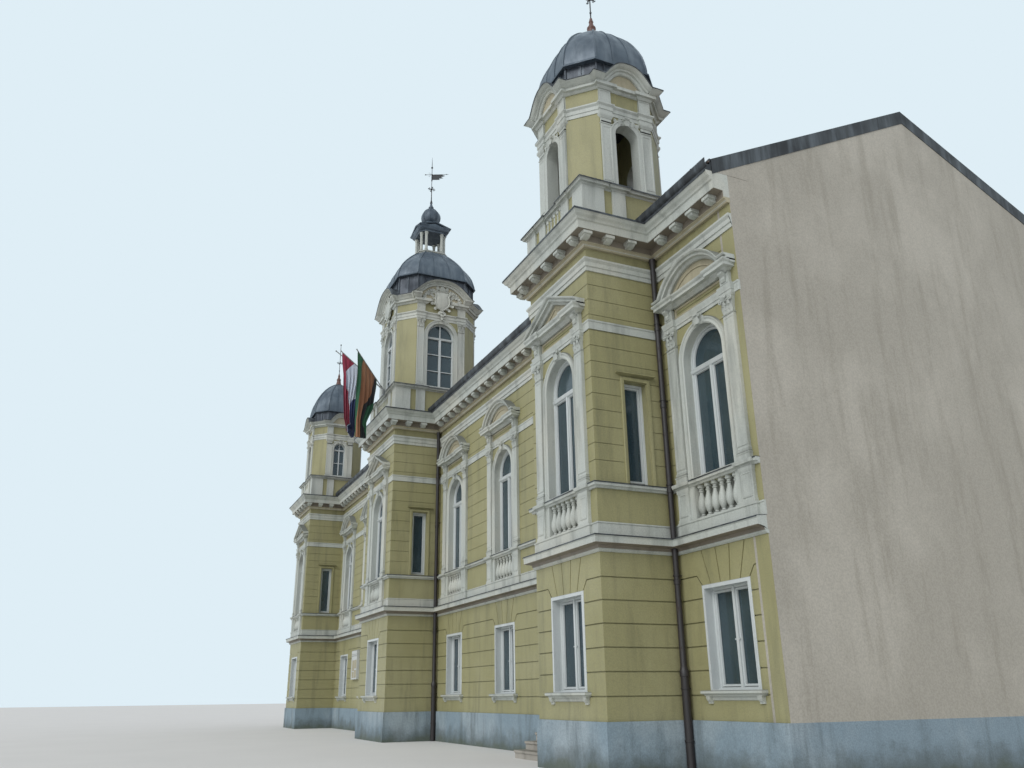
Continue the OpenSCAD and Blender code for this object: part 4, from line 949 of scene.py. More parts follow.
ways = ((1, 0), (0, 1), (-1, 0), (0, -1))  # cosine and sine of the four quarter turns


# spots on the four wide faces of a square, a away from its middle
def faceSpots(a, x0=0, y0=0):
    return [(x0 + a * s, y0 - a * c, 0, 90 * k) for k, (c, s) in enumerate(ways)]


# eight corners of a square with cut corners
def cutSquare(a, cut, d=0.0):
    h, f = a + d, a - cut + d * (sqrt(2) - 1)
    return [(-f, -h), (f, -h), (h, -f), (h, f), (f, h), (-f, h), (-h, f), (-h, -f)]


# once round a belfry, with a break over each pilaster
def belfryPath(spec):
    a, f, p, w = spec["a"], spec["face"], belfry["break"], belfry["pilaster"]
    side = mirrored([(-f, -a), (-f, -a - p), (-f + w, -a - p), (-f + w, -a)])
    return [(spec["x"] + c * x - s * y, spec["y"] + s * x + c * y) for c, s in ways for x, y in side]


# round one cut corner, from a point on one wide face to the same point on the next
def cornerPath(spec, start):
    a, f, p = spec["a"], spec["face"], belfry["break"]
    return [(start, -a - p), (f, -a - p), (f, -a), (a, -f), (a + p, -f), (a + p, -start)]


def carve(mesh, cutters):
    holder = bpy.data.objects.new("carved", mesh)
    tools = [bpy.data.objects.new("cutter", cutter) for cutter in cutters]
    for thing in (holder, *tools):
        scene.collection.objects.link(thing)
    for tool in tools:
        cut = holder.modifiers.new("cut", "BOOLEAN")
        cut.object, cut.operation, cut.solver = tool, "DIFFERENCE", "EXACT"
    return evaluated(holder, tools)


def belfryWalls(key, spec):
    low, high = spec["z0"] - 0.02, spec["z2"] - 0.05
    outer, inner = newPart(), newPart()
    prism(outer, cutSquare(spec["a"], spec["cut"]), low, high)
    prism(inner, cutSquare(spec["a"], spec["cut"], -belfry["wall"]), low + 0.03, high + 1)
    cutters = [asMesh(inner, "inner")]
    for turn in (0, 90):
        hole = newPart()
        slab(hole, archPath(spec["opening"], spec["zSill"], spec["spring"], 28), -3, 3)
        cutters.append(asMesh(hole, "hole"))
        cutters[-1].transform(Matrix.Rotation(radians(turn), 4, "Z"))
    shell = carve(asMesh(outer, "shell"), cutters)
    shell.transform(Matrix.Translation((spec["x"], spec["y"], 0)))
    addPiece(key + "_tower_walls", shell, "yellowPlaster", (key + "_tower",))


# an arc whose ends run out level, from one ear to the other, rising above z
def eyebrow(half, rise, z, steps=32):
    shares = [2 * k / steps - 1 for k in range(steps + 1)]
    return [(half * u, z + rise * (1 - abs(u) ** 2.7) ** 1.45) for u in shares]


# a leafy keystone that hangs from z
def keyOrnament(bm, z, w, high, out):
    bracket(bm, 0, w / 2, mm("0 0, 600 0, 1000 300, 750 600, 1250 900, 1200 1000, 0 1000", 0, z, out, high))
    leaf(bm, 0, z - high * 0.1, w * 1.1, high * 0.7, out * 0.9, 0.04)
    for k in (-1, 1):
        scrollDisc(bm, k * w * 0.5, out * 0.8, z + high * 0.75, w * 5)
        leaf(bm, k * w, z + high * 0.1, w * 0.9, high * 0.75, out * 0.4, 0.04, -k * 35)
        leaf(bm, k * w * 1.9, z + high * 0.3, w * 0.8, high * 0.55, out * 0.3, 0.03, -k * 70)


plainCapital = mm("0 0, 14 10, 18 30, 0 45, 0 150, 14 160, 20 180, 40 210, 45 225, 45 280")
lowBase = mm("18 0, 18 80, 26 90, 26 110, 8 125, 10 145, 0 160")


def belfryFace(spec):
    bm = newPart()
    w, z0, z1, z2, f = (spec[k] for k in ("opening", "z0", "z1", "z2", "face"))
    out, half, zFrieze = belfry["break"], belfry["pilaster"] / 2, z2 - spec["cornice"]
    deep = 0.15 if spec["glazed"] else belfry["wall"] + 0.01
    surround = [(-0.012, -deep)] + mm("-12 30, 20 36, 85 36, 92 52, 120 52, 120 -10, 0 -10") + [(0, -deep)]
    sweep(bm, archPath(w, spec["zSill"] - 0.02, spec["spring"], 28), surround)
    post(bm, 0, w / 2 + 0.1, -0.07, deep, z0, spec["zSill"])
    for k in (-1, 1):
        x, shaft = k * (f - half), half - 0.02
        ledge(bm, x, shaft, out, rows(z0, lowBase))
        post(bm, x, shaft, -out, 0.03, z0, z1 - 0.2)
        panel(bm, x - shaft + 0.001, x + shaft - 0.001, z0 + 0.2, z1 - 0.32,
              mm("-40 -10, -40 1, -32 8, 0 8, 0 -10", z=out))
        if spec["leafy"]:
            capital(bm, x, z1 - belfry["capital"], 2 * half, belfry["capital"], out)
        else:
            ledge(bm, x, shaft, out, rows(z1 - belfry["plainCapital"], plainCapital))
        post(bm, x, half, -out, 0.03, z1 + belfry["architrave"] - 0.01, zFrieze + 0.01)
        panel(bm, x - half, x + half, z1 + 0.29, zFrieze - 0.02, mm("-30 -10, -25 10, 0 10, 0 -10", z=out))
    top, lip = spec["spring"] + w / 2, belfry["lip"] + out
    keyOrnament(bm, top - 0.03, 0.12, z1 - top + 0.04, 0.09)
    rim = mm("-190 -20, -190 100, -175 120, -120 125, -110 165, -65 170, -55 220")
    sweep(bm, eyebrow(spec["archHalf"], spec["rise"], z2 - 0.02), rim + [(-0.015, lip - 0.01), (0, lip), (0, -0.02)])
    return bm


# a plain shield of the given size on the wall, in scrolls and leaves
shield = {
    "outline": mm("130 -520, 270 -400, 350 -220, 350 -20, 310 140, 370 270, 330 380, 200 360, 100 420"),
    "edge": mm("-20 -20, -20 50, 10 70, 30 55, 36 0, 36 -20"),
    "bulge": ((1, -0.03), (1, 0.02), (0.8, 0.05), (0.5, 0.07), (0.12, 0.078)),
    "scrolls": ((0.41, 0.3, 1.7), (0.44, -0.04, 1.2), (0.36, -0.32, 1.3), (0.2, -0.52, 1.1), (0.13, 0.5, 1.3),
                (0.62, 0.36, 1.2)),
    "leaves": ((0.42, 0.1, 60, 0.24), (0.44, -0.14, 80, 0.22), (0.4, -0.26, 110, 0.22), (0.28, -0.46, 140, 0.22),
               (0.1, -0.66, 165, 0.24), (0.2, 0.44, 20, 0.24)),
    "sprig": 7,
}


def cartouche(bm, z, size, out):
    side = shield["outline"]
    outline = ([(0, -0.62)] + side + [(0, 0.38)] + [(-u, v) for u, v in side[::-1]])[::-1]
    loft(bm, [[(u * size * s, -out - up, z + v * size * s) for u, v in outline] for s, up in shield["bulge"]])
    edge = [(aside, out + up) for aside, up in shield["edge"]]
    sweep(bm, [(u * size, z + v * size) for u, v in outline], edge, True)

    def sprout(dx, dz, w, high, away, lean, turn=0):
        leaf(bm, dx * size, z + dz * size, w * size, high * size, away, lean, turn)

    for k in (-1, 1):
        for dx, dz, grow in shield["scrolls"]:
            scrollDisc(bm, k * dx * size, out + 0.03, z + dz * size, grow * size)
        for n in range(shield["sprig"]):
            dx, dz = 0.4 + 0.085 * n, 0.36 - 0.012 * n * n
            sprout(k * dx, dz, 0.13, 0.2, out - 0.01 * (n % 2), 0.05, -k * (70 + 8 * n))
            sprout(k * dx, dz - 0.02, 0.11, 0.17, out, 0.045, -k * (150 if n % 2 else 20))
        for dx, dz, turn, long in shield["leaves"]:
            sprout(k * dx, dz, 0.14, long, out, 0.05, -k * turn)
    sprout(0, 0.4, 0.2, 0.28, out + 0.01, 0.06)
    for n, grow in enumerate((0.2, 0.16, 0.12)):
        sprout(0, -(0.56 + 0.17 * n), grow, 0.24, out + 0.01, 0.045, 180)


def belfryField(spec):
    bm = newPart()
    z, half = spec["z2"] - spec["cornice"] * 0.5, spec["archHalf"] - 0.12
    arch = [(x, y) for x, y in eyebrow(spec["archHalf"], spec["rise"] - 0.1, z + 0.05) if abs(x) < half]
    slab(bm, [(half, z)] + arch[::-1] + [(-half, z)], 0.02, -0.06)
    return bm


def belfryTrim(key, spec):
    bm, face, field = newPart(), newPart(), newPart()
    z1, z2, high, a, leafy = (spec[k] for k in ("z1", "z2", "cornice", "a", "leafy"))
    architrave = rows(z1, mm("15 0, 15 90, 30 100, 30 190, 65 235, 65 270"))
    course(bm, belfryPath(spec), architrave, True)
    part = belfryFace(spec)
    if leafy:
        cartouche(part, z2 - 0.06, 0.76, 0.07)
    copyInto(face, part, [(0, -a, 0, 0)])
    bed = rows(z2 - high, mm("20 0, 50 30") + [(0.06, high * 0.2), (0.12, high * 0.24), (0.12, high * 0.55)])
    if leafy:
        start = spec["face"] - 0.36
        course(face, [(start, -a + 0.03)] + cornerPath(spec, start) + [(a - 0.03, -start)], bed)
    else:
        course(bm, belfryPath(spec), bed, True)
    cyma = [(0.12, 0), (0.15, 0.01)] + mm("190 220, 235 340, 250 390, 250 500", tall=high)
    start = spec["face"] - 0.1 if leafy else spec["archHalf"] - 0.03
    course(face, cornerPath(spec, start), rows(z2 - high * 0.5, cyma))
    copyInto(bm, face, faceSpots(0, spec["x"], spec["y"]))
    piece(key + "_tower_trim", bm, "paleTrim")
    copyInto(field, belfryField(spec), faceSpots(a, spec["x"], spec["y"]))
    piece(key + "_tower_fields", field, "creamTrim")


# domes: an upright skirt of dark sheet, then a seamed dome that draws in to its neck
dome = {"inset": 0.04, "eave": 0.05, "seam": 0.026, "seamHigh": 0.022, "sideSteps": 3, "rib": (0.03, 0.02),
        "cornerRib": (0.05, 0.022)}
# a dome's outline as thousandths of its height and of its width at the eaves
sideCurve = mm("0 1000, 60 1000, 120 990, 200 972, 300 940, 390 890, 480 825, 570 750, 650 665, 710 585, 760 515, "
               "810 435, 860 345, 900 260, 940 165, 970 85, 1000 0")
centreCurve = mm("0 1000, 60 992, 120 975, 200 947, 290 910, 380 840, 470 755, 550 668, 630 570, 720 450, 800 335, "
                 "870 225, 930 125, 970 55, 1000 0")


# a ring of the dome, each of its eight sides in steps, turning round towards the top
def domeRing(a, cut, z, roundness):
    corners, steps = cutSquare(a, cut), dome["sideSteps"]
    ring = []
    for (x0, y0), (x1, y1) in zip(corners, corners[1:] + corners[:1]):
        for k in range(steps):
            x, y = x0 + (x1 - x0) * k / steps, y0 + (y1 - y0) * k / steps
            grow = 1 + roundness * (a * 1.03 / hypot(x, y) - 1)
            ring.append(Vector((x * grow, y * grow, z)))
    return ring


# a standing seam along a line of points that climbs a dome
def seam(bm, points, w, high, away=None):
    rings = []
    for k, p in enumerate(points):
        ahead = points[min(k + 1, len(points) - 1)] - points[max(k - 1, 0)]
        out = Vector((p.x, p.y, 0)).normalized() if away is None else away
        aside = ahead.cross(out).normalized()
        normal = aside.cross(ahead).normalized()
        rings.append([p - aside * w / 2 - normal * 0.01, p + aside * w / 2 - normal * 0.01,
                      p + aside * w / 2 * 0.7 + normal * high, p - aside * w / 2 * 0.7 + normal * high])
    loft(bm, rings)


def domeParts(key, spec):
    a, cut, z0, z1, lip = spec["a"], spec["cut"], spec["z2"], spec["top"], belfry["lip"]
    inset, zs, at = dome["inset"], z0 + spec["skirt"], (spec["x"], spec["y"])
    skirt, cover, arcs, bm = newPart(), newPart(), newPart(), newPart()
    loft(skirt, [[(x, y, z) for x, y in cutSquare(a, cut, -inset - d)] for z, d in ((z0 - 0.04, 0), (zs, 0.015))])

    def upright(x, y, size, away=None):
        seam(skirt, [Vector((x, y, z)) for z in (z0, zs)], *size, away)

    for x, y in cutSquare(a, cut, -inset):
        upright(x, y, dome["cornerRib"])
    for c, s in ways:
        for u in (-0.33, 0.33):
            x, y = u * (a - cut) * 2, -(a - inset)
            upright(c * x - s * y, s * x + c * y, dome["rib"], Vector((s, -c, 0)))
        mid = a - cut / 2 - inset * 0.7
        upright((c + s) * mid, (s - c) * mid, dome["rib"])
    course(arcs, [(px, py + a) for px, py in cornerPath(spec, spec["archHalf"] - 0.03)],
           mm("-60 70, -60 0", z=z0) + mm("-10 -2, 6 -20, 12 -18, 4 12", lip, z0))
    out = lip + belfry["break"]
    sweep(arcs, eyebrow(spec["archHalf"], spec["rise"], z0 - 0.02),
          mm("-10 -50, 12 -50") + [(0.012, out + 0.012), (-0.012, out + 0.012), (-0.012, out + 0.004), (-0.004, out)])
    copyInto(cover, arcs, faceSpots(a, *at))
    eave = a + dome["eave"]
    rings = [domeRing(a - 0.02, cut, zs - 0.05, 0), domeRing(eave, cut, zs - 0.06, 0),
             domeRing(eave + 0.006, cut, zs - 0.02, 0)]
    lines = []
    for t, share in centreCurve if spec["leafy"] else sideCurve:
        half = spec["neck"] + (a + 0.02 - spec["neck"]) * share
        lines.append(domeRing(half, cut * half / a, zs + (z1 - zs) * t, spec["roundness"] * t))
    loft(bm, rings + lines)
    perSide = dome["sideSteps"]
    for k in range(8 * perSide):
        strong = k % perSide == 0
        if strong or k // perSide % 2 == 0:
            wider, higher = (1.3, 1.2) if strong else (0.7, 0.7)
            seam(bm, [ring[k] for ring in lines], dome["seam"] * wider, dome["seamHigh"] * higher)
    piece(key + "_dome_metal", bm, "domeMetal", (key + "_dome",), 30, at)
    piece(key + "_dome_skirt", skirt, "skirtMetal", (), 30, at)
    piece(key + "_dome_covers", cover, "flashing", slot="dome_metal")


for key, spec in towers.items():
    belfryWalls(key, spec)
    belfryTrim(key, spec)
    domeParts(key, spec)
print("belfries and domes done")


# belfry windows, with a transom at the springing and thin bars below
def belfryWindow(spec):
    bm = newPart()
    w, low, spring, bars = (spec[k] for k in ("opening", "zSill", "spring", "bars"))
    line = spring - 0.06
    sweep(bm, archPath(w, low, spring, 24), mm("-60 -150, -60 -105, -50 -90, 0 -90, 0 -150"), True)
    bracket(bm, 0, w / 2, mm("-150 -40, -90 -40, -70 0, -70 20, -90 40, -150 40", z=line))
    wide = 0.04 if spec["leafy"] else 0.025
    post(bm, 0, wide, 0.085, 0.15, low, line)
    post(bm, 0, 0.018, 0.1, 0.15, line, spring + w / 2 - 0.03)
    for k in range(1, bars + 1):
        z = low + (line - low) * k / (bars + 1)
        post(bm, 0, w / 2 - 0.03, 0.105, 0.15, z - 0.014, z + 0.014)
    return bm


frames = newPart()
for key in ("centre", "left"):
    spec = towers[key]
    copyInto(frames, belfryWindow(spec), faceSpots(spec["a"], spec["x"], spec["y"]))
piece("belfry_joinery", frames, "windowPaint", ("tower_window_frames",))


# modillions: a capped block with a curled body, under the cornice
def modillionSpots():
    spots = []
    for low, high in looseBoxes("modillions"):
        at, size = middle((low, high)), high - low
        if size.x < size.y:
            spots.append((at.x, high.y, high.z, 0))
        else:
            home = min((0, plan["sideX"], -plan["sideX"]), key=lambda x: abs(x - at.x))
            spots.append((low.x, at.y, high.z, 90) if at.x > home else (high.x, at.y, high.z, -90))
    return spots


def modillionPart():
    low, high = looseBoxes("modillions")[0]
    deep, z = max(high.x - low.x, high.y - low.y), high.z - low.z
    bm = newPart()
    bracket(bm, 0, 0.072, [(-0.02, -z)] + mm("420 -1000, 600 -960, 760 -800, 840 -550, 860 -250", 0, 0, deep, z)
            + [(-0.02, -0.25 * z)])
    bracket(bm, 0, 0.1, [(-0.02, -0.5 * z)] + mm("960 -500, 1000 -440, 1000 -100", 0, 0, deep, z)
            + [(0.98 * deep, 0.004), (-0.02, 0.004)])
    bracket(bm, 0, 0.04, mm("100 -1060, 400 -1060, 620 -980, 800 -780, 700 -700, 100 -900", 0, 0, deep, z))
    return bm


repeat("cornice_modillions", modillionPart(), modillionSpots(), "paleTrim", ("modillions",))
cornice = bandPiece("cornice_body", [
    mm("-10 0, 60 0, 110 70, 130 80, 130 230, 350 240, 360 400, 390 420, 397 447, 413 472, 440 492, 460 514, 470 540, "
       "490 560", z=level["cornice"]) + mm("490 0, -10 0", z=level["eaves"])], "paleTrim", 0.002)
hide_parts("main_cornice")
bandPiece("cornice_cover", [mm("-10 -3, 491 -3, 491 -32, 499 -34, 501 6, -10 12", z=level["eaves"])], "flashing")
bandPiece("bed_mouldings", [
    mm("-10 -3, 63 -3, 75 12, 80 30, 112 66, 134 74, 134 100, -10 100", z=level["cornice"])], "creamTrim")
bandPiece("shaded_mouldings", [
    mm("120 90, 136 90, 136 224, 338 233, 338 245, 120 245", z=level["cornice"]),
    mm("-10 -2, 64 -2, 66 30, 75 48, 120 55, 190 74, 190 82, -10 90", z=level["belt"])], "shadedPlaster", -0.006)

# gutters: a fascia and an open trough with straps
gutter = {"strapEvery": 0.9, "strapHalf": 0.015, "strapLong": 0.156}
trough = mm("0 0, 100 0, 100 90, 112 100, 135 120, 150 155, 150 235, 154 250, 150 266, 140 268, 138 250, 138 160, "
            "120 130, 30 130, 30 270, 0 270")
bm = newPart()
for low, high in looseBoxes("gutters"):
    way, inner = (-1, high.y) if low.y < 0 else (1, low.y)
    beam(bm, low.x, high.x, [(inner + way * out, low.z + z) for out, z in trough])
    count = round((high.x - low.x) / gutter["strapEvery"])
    for k in range(count):
        x = low.x + (k + 0.5) * (high.x - low.x) / count
        post(bm, x, gutter["strapHalf"], inner, inner + way * gutter["strapLong"], low.z + 0.262, low.z + 0.27)
piece("roof_gutters", bm, "flashing", ("gutters",))

# rainwater pipes, with a thick foot, sockets and wall clips
pipe = {"fromWall": 0.112, "sockets": (3.15, 4.85, 6.55, 8.2), "clips": (0.5, 1.35, 3.3, 5.0, 6.7, 8.35), "foot": 1.6}


def pipePart():
    bm = newPart()
    shape = mm("74 0, 74 1560, 84 1565, 86 1660, 74 1680, 60 1740")
    for z in pipe["sockets"]:
        shape += mm("55 0, 65 6, 67 85, 57 95", z=z)
    turned(bm, shape + mm("55 -160, 68 -120, 70 0", z=highest("rainwater_pipes").z), 16)
    for z in pipe["clips"]:
        r = 0.082 if z < pipe["foot"] else 0.066
        turned(bm, mm("0 0, 4 4, 4 26, 0 30", r, z), 16)
        post(bm, 0, 0.008, 0, 0.118, z + 0.005, z + 0.025)
        block(bm, -r - 0.02, -r + 0.01, -0.012, 0.012, z + 0.002, z + 0.028)
    return bm


pipeX = mirrored([(-plan["sideOut"] - pipe["fromWall"], 0), (-plan["centreHalf"] - pipe["fromWall"], 0)])
pipeSpots = [(x, plan["wing"] - pipe["fromWall"], 0, 0) for x, y in pipeX]
repeat("wall_pipes", pipePart(), pipeSpots, "pipePaint", ("rainwater_pipes",), 40)

# ground storey sills on two small brackets, with a strip between them
sill = {"bracketX": 0.66, "stripHalf": 0.6}


def sillPart():
    low, high = min(looseBoxes("ground_window_sills"), key=lambda box: box[0].y)
    half, out, z0, zs = (high.x - low.x) / 2, plan["front"] - low.y, low.z, high.z - 0.09
    bm = newPart()
    nose = rows(zs, mm("-50 0, -45 20, -12 30, 0 40, 0 75, -12 88", out), -0.14)
    ledge(bm, 0, half - out, 0, nose, 0.16)
    for x in (-sill["bracketX"], sill["bracketX"]):
        bracket(bm, x, 0.055, mm("-20 10, 75 10, 80 -20, 70 -50, 40 -75, 30 -100", z=zs) + mm("35 0, -20 0", z=z0))
        bracket(bm, x, 0.04, [(0.0, z0 + 0.02)] + mm("60 -30, 85 -30, 80 -55", z=zs) + [(0.048, z0 + 0.03)])
    ledge(bm, 0, sill["stripHalf"], 0, rows(zs - 0.07, mm("12 0, 26 20, 26 45, 40 70")))
    return bm


repeat("window_sills", sillPart(), groundAll, "paleTrim", ("ground_window_sills",))
print("courses and pipes done")

# lantern: octagonal base, paired columns, seamed roof with gablets, and an onion top
spire = (towers["centre"]["x"], towers["centre"]["y"])
columnShape = mm("75 0, 75 30, 60 40, 70 55, 66 75, 57 85, 54 740, 62 750, 56 765, 58 790, 70 815, 75 825, 75 882")
lantern = {"half": 0.56, "cut": 0.19, "columnAt": (0.465, 0.15), "columnTall": 0.944, "roofHigh": 0.65}


def ringsAt(z0, steps):
    return [[(x, y, z0 + z) for x, y in cutSquare(a, cut)] for a, cut, z in steps]


bm = newPart()
z0 = lowest("lantern").z
base = mm("0 -20, 0 30, 30 50, 30 80, 10 95, -20 120, -60 122")
loft(bm, ringsAt(z0, [(lantern["half"] + d, lantern["cut"], z) for d, z in base]))
for x, y in cutSquare(*lantern["columnAt"]):
    turned(bm, [(r, z * lantern["columnTall"]) for r, z in columnShape], 18, Matrix.Translation((x, y, z0 + 0.12)))
piece("lantern_columns", bm, "paleTrim", ("lantern",), at=spire)

z0, zTop = lowest("lantern_roof").z, highest("lantern_roof").z
z1 = z0 + lantern["roofHigh"]
bm, gablet = newPart(), newPart()
loft(bm, ringsAt(z0, (
    (0.5, 0.17, 0), (0.55, 0.18, 0.002), (0.55, 0.18, 0.06), (0.575, 0.12, 0.08), (0.6, 0.08, 0.125),
    (0.61, 0.08, 0.165), (0.632, 0.08, 0.21), (0.635, 0.08, 0.25), (0.6, 0.08, 0.262), (0.47, 0.1, 0.35),
    (0.37, 0.11, 0.45), (0.3, 0.1, 0.56), (0.25, 0.08, z1 - z0))))
slab(gablet, mm("-550 160, 550 160, 550 210, 0 370, -550 210", z=z0), 0.03, 0.4)
sweep(gablet, mm("-640 210, 0 400, 640 210", z=z0), mm("0 -300, 0 0, 20 20, 45 25, 45 -300"))
copyInto(bm, gablet, faceSpots(0.615))
onion = mm("250 0, 310 60, 338 105, 360 160, 372 220, 376 280, 373 340, 362 400, 338 460, 300 520, 252 575, 190 630, "
           "140 670, 105 700, 88 720", z=z1, tall=zTop - z1)
knob = mm("90 735, 104 745, 104 785, 75 800, 70 840, 50 900, 32 1000", z=z1, tall=zTop - z1)
turned(bm, [(0.2, z1 - 0.02)] + onion + knob, 32)
for k in range(8):
    c, s = cos(pi * (k + 0.5) / 4), sin(pi * (k + 0.5) / 4)
    seam(bm, [Vector((r * c, r * s, z)) for r, z in onion], 0.02, 0.014)
piece("lantern_top", bm, "domeMetal", ("lantern_roof",), at=spire)


# ironwork: a ribbon bent in a plane, and four scrolled arms round a ball
def ribbon(bm, path, w=0.012, thick=0.01):
    sweep(bm, path, [(-w / 2, -thick / 2), (w / 2, -thick / 2), (w / 2, thick / 2), (-w / 2, thick / 2)])


def scrollCross(bm, z, size=1.0):
    arm = newPart()
    for s in (-1, 1):
        path = mm("12 30, 40 12, 75 10") + arc(0.095, 0.036, 0.026, -75, 150, 8) + [(0.082, 0.03)]
        ribbon(arm, [(x * size, z + s * y * size) for x, y in path])
    block(arm, 0, 0.15 * size, -0.006, 0.006, z - 0.007, z + 0.007)
    turned(arm, mm("4 -20, 16 -10, 16 10, 4 20"), 10, Matrix.Translation((0.15 * size, 0, z)))
    copyInto(bm, arm, faceSpots(0))
    turned(bm, ballShape(0.042, z), 16)


top = highest("side_finials").z
for key in ("right", "left"):
    foot, at = towers[key]["top"], (towers[key]["x"], towers[key]["y"])
    bm = newPart()
    turned(bm, mm("150 -10, 155 30, 140 60, 120 120, 100 240, 98 270, 115 300, 110 340, 75 380, 55 460, 50 500, "
                  "62 525, 50 550, 34 640", z=foot), 20)
    piece(key + "_finial_foot", bm, "rustPaint", (), 40, at)
    bm = newPart()
    turned(bm, mm("17 600, 17 800, 28 820, 28 850, 16 870", z=foot) + mm("15 -300, 12 -100", z=top), 12)
    turned(bm, ballShape(0.04, top - 0.04), 16)
    scrollCross(bm, foot + 1.28)
    piece(key + "_finial", bm, "blackIron", ("side_finials",) if key == "right" else (), 40, at)

z, v, top = lowest("centre_spire").z, lowest("weather_vane").z, highest("centre_spire").z
bm = newPart()
turned(bm, mm("50 -20, 50 30, 34 50, 40 75, 24 110, 18 300, 17 790, 12 810", z=z)
       + mm("12 -41, 27 -40, 27 -6, 20 -0.6, 12 -0.6", z=v) + mm("12 -350, 3 0", z=top), 16)
scrollCross(bm, z + 0.66, 0.95)
turned(bm, ballShape(0.042, v + 0.6), 16)
piece("spire_iron", bm, "blackIron", ("centre_spire",), 40, spire)

# the vane: a forked banner and a pointer with a ball, on a sleeve that turns on the spindle
vane = {"bore": 0.0142, "plate": 0.0025, "arm": 0.264, "turn": 65}
bm = newPart()
ring = [(vane["bore"] * cos(2 * pi * k / 20), vane["bore"] * sin(2 * pi * k / 20)) for k in range(20)]
course(bm, ring, mm("0 0, 7.8 0, 10.5 12, 7.8 24, 7.8 276, 10.5 288, 7.8 300, 0 300", z=v), True)
banner = mm("19 20, 310 20, 290 45, 260 75, 350 80, 442 90, 390 120, 338 150, 430 165, 520 195, 460 215, 416 240, "
            "416 252, 19 258", z=v)
slab(bm, banner, vane["plate"], -vane["plate"])
sweep(bm, banner[::-1], mm("-1 -4.5, -1 4.5, 9 4.5, 9 -4.5"), True)
for x0, x1 in ((-0.3, -0.019), (0.019, 0.6)):
    block(bm, x0, x1, -0.006, 0.006, v + 0.258, v + 0.27)
zArm = v + vane["arm"]
turned(bm, mm("1 0, 24 30, 12 35, 1 120"), 8, Matrix.Translation((0.57, 0, zArm)) @ Matrix.Rotation(pi / 2, 4, "Y"))
turned(bm, ballShape(0.026, zArm), 14, Matrix.Translation((-0.255, 0, 0)))
for s in (-1, 1):
    curl = [(x - 0.11, zArm + s * (y + 0.045)) for x, y in arc(0, 0, 0.04, -80, 150, 8)]
    ribbon(bm, [(-0.04, zArm + s * 0.005)] + curl, 0.008, 0.007)
bmesh.ops.rotate(bm, verts=bm.verts, cent=(0, 0, 0), matrix=Matrix.Rotation(radians(vane["turn"]), 3, "Z"))
piece("vane_banner", bm, "blackIron", ("weather_vane",), 40, spire, body="vane")
print("lantern, finials and vane done")

# flagpoles: three slanted poles in one holder; each works in its own upright plane
pole = {"y": plan["front"] - 0.04, "z": level["parapet"] + 0.3, "lean": radians(52), "r": 0.018, "ball": 0.026,
        "turns": (31, 0, -11), "long": (1.81, 2.06, 2.24), "joint": 0.6}


def poleMatrix(k):
    return Matrix.Translation((0, pole["y"], 0)) @ Matrix.Rotation(radians(pole["turns"][k] - 90), 4, "Z")


bm = newPart()
turned(bm, mm("85 0, 85 30, 55 50, 52 200, 60 220, 60 300, 45 330, 0 345"), 20,
       Matrix.Translation((0, pole["y"], level["parapet"])))
for k, long in enumerate(pole["long"]):
    tilt = poleMatrix(k) @ Matrix.Translation((0, 0, pole["z"])) @ Matrix.Rotation(pole["lean"], 4, "Y")
    joint = mm("0 0, 3 0, 3 30, 0 30", pole["r"], long * pole["joint"])
    turned(bm, mm("27 0, 27 190, 22 200, 18 202") + joint + [(pole["r"], long)], 14, tilt)
    turned(bm, ballShape(pole["ball"], long), 14, tilt)
piece("flag_poles", bm, "poleMetal", ("flagpoles",), 40)


def between(points, z):
    for (r0, z0), (r1, z1) in zip(points, points[1:]):
        if min(z0, z1) <= z <= max(z0, z1) and z0 != z1:
            return r0 + (r1 - r0) * (z - z0) / (z1 - z0)
    return points[0][0] if z > points[0][1] else points[-1][0]


# where the share u of the width lies at v, between stripe edges listed from the flag's top (0) to its foot (1)
def stripePlace(u, v, shades, edges):
    (v0, *from0), (v1, *from1) = next(pair for pair in zip(edges, edges[1:]) if v <= pair[1][0])
    t = (v - v0) / (v1 - v0)
    placed = [0.0] + [a + (b - a) * t for a, b in zip(from0, from1)] + [1.0]
    fixed = [0.0] + [upTo for shade, upTo in shades]
    n = next(n for n in range(len(shades)) if u <= fixed[n + 1])
    return placed[n] + (placed[n + 1] - placed[n]) * (u - fixed[n]) / (fixed[n + 1] - fixed[n])


flag = {"across": 96, "down": 48, "thick": 0.0012, "gap": 0.0006, "fallen": 0.9, "deepest": 0.07}
# each flag's outline as (distance along the ground, height) in its pole's plane, its folds and its stripes
tips = [long * sin(pole["lean"]) for long in pole["long"]]
near = 0.735
low = lowest("right_flag").z
rightFlag = {
    "pole": 0, "topFrom": 0.36, "folds": 5, "deep": 0.052, "seed": 1.7,
    "left": mm("340 2200, 370 1270, 735 620, 735 40", z=low),
    "right": mm("-50 3200, -60 2400, -110 900", tips[0], low) + [(near + 0.53, low)],
    "bottom": mm("0 50, 250 30, 530 5", near, low),
    "shades": (("flagGreen", 0.25), ("flagBlack", 0.5), ("flagOrange", 0.83), ("flagGreen", 1.0)),
    "edges": ((0, 0.03, 0.09, 0.7), (0.15, 0.03, 0.12, 0.78), (0.4, 0.06, 0.3, 0.82), (0.55, 0.4, 0.55, 0.92),
              (0.8, 0.44, 0.62, 0.97), (0.9, 0.12, 0.6, 0.97), (1, 0.05, 0.55, 0.97)),
}
low = lowest("left_flag").z
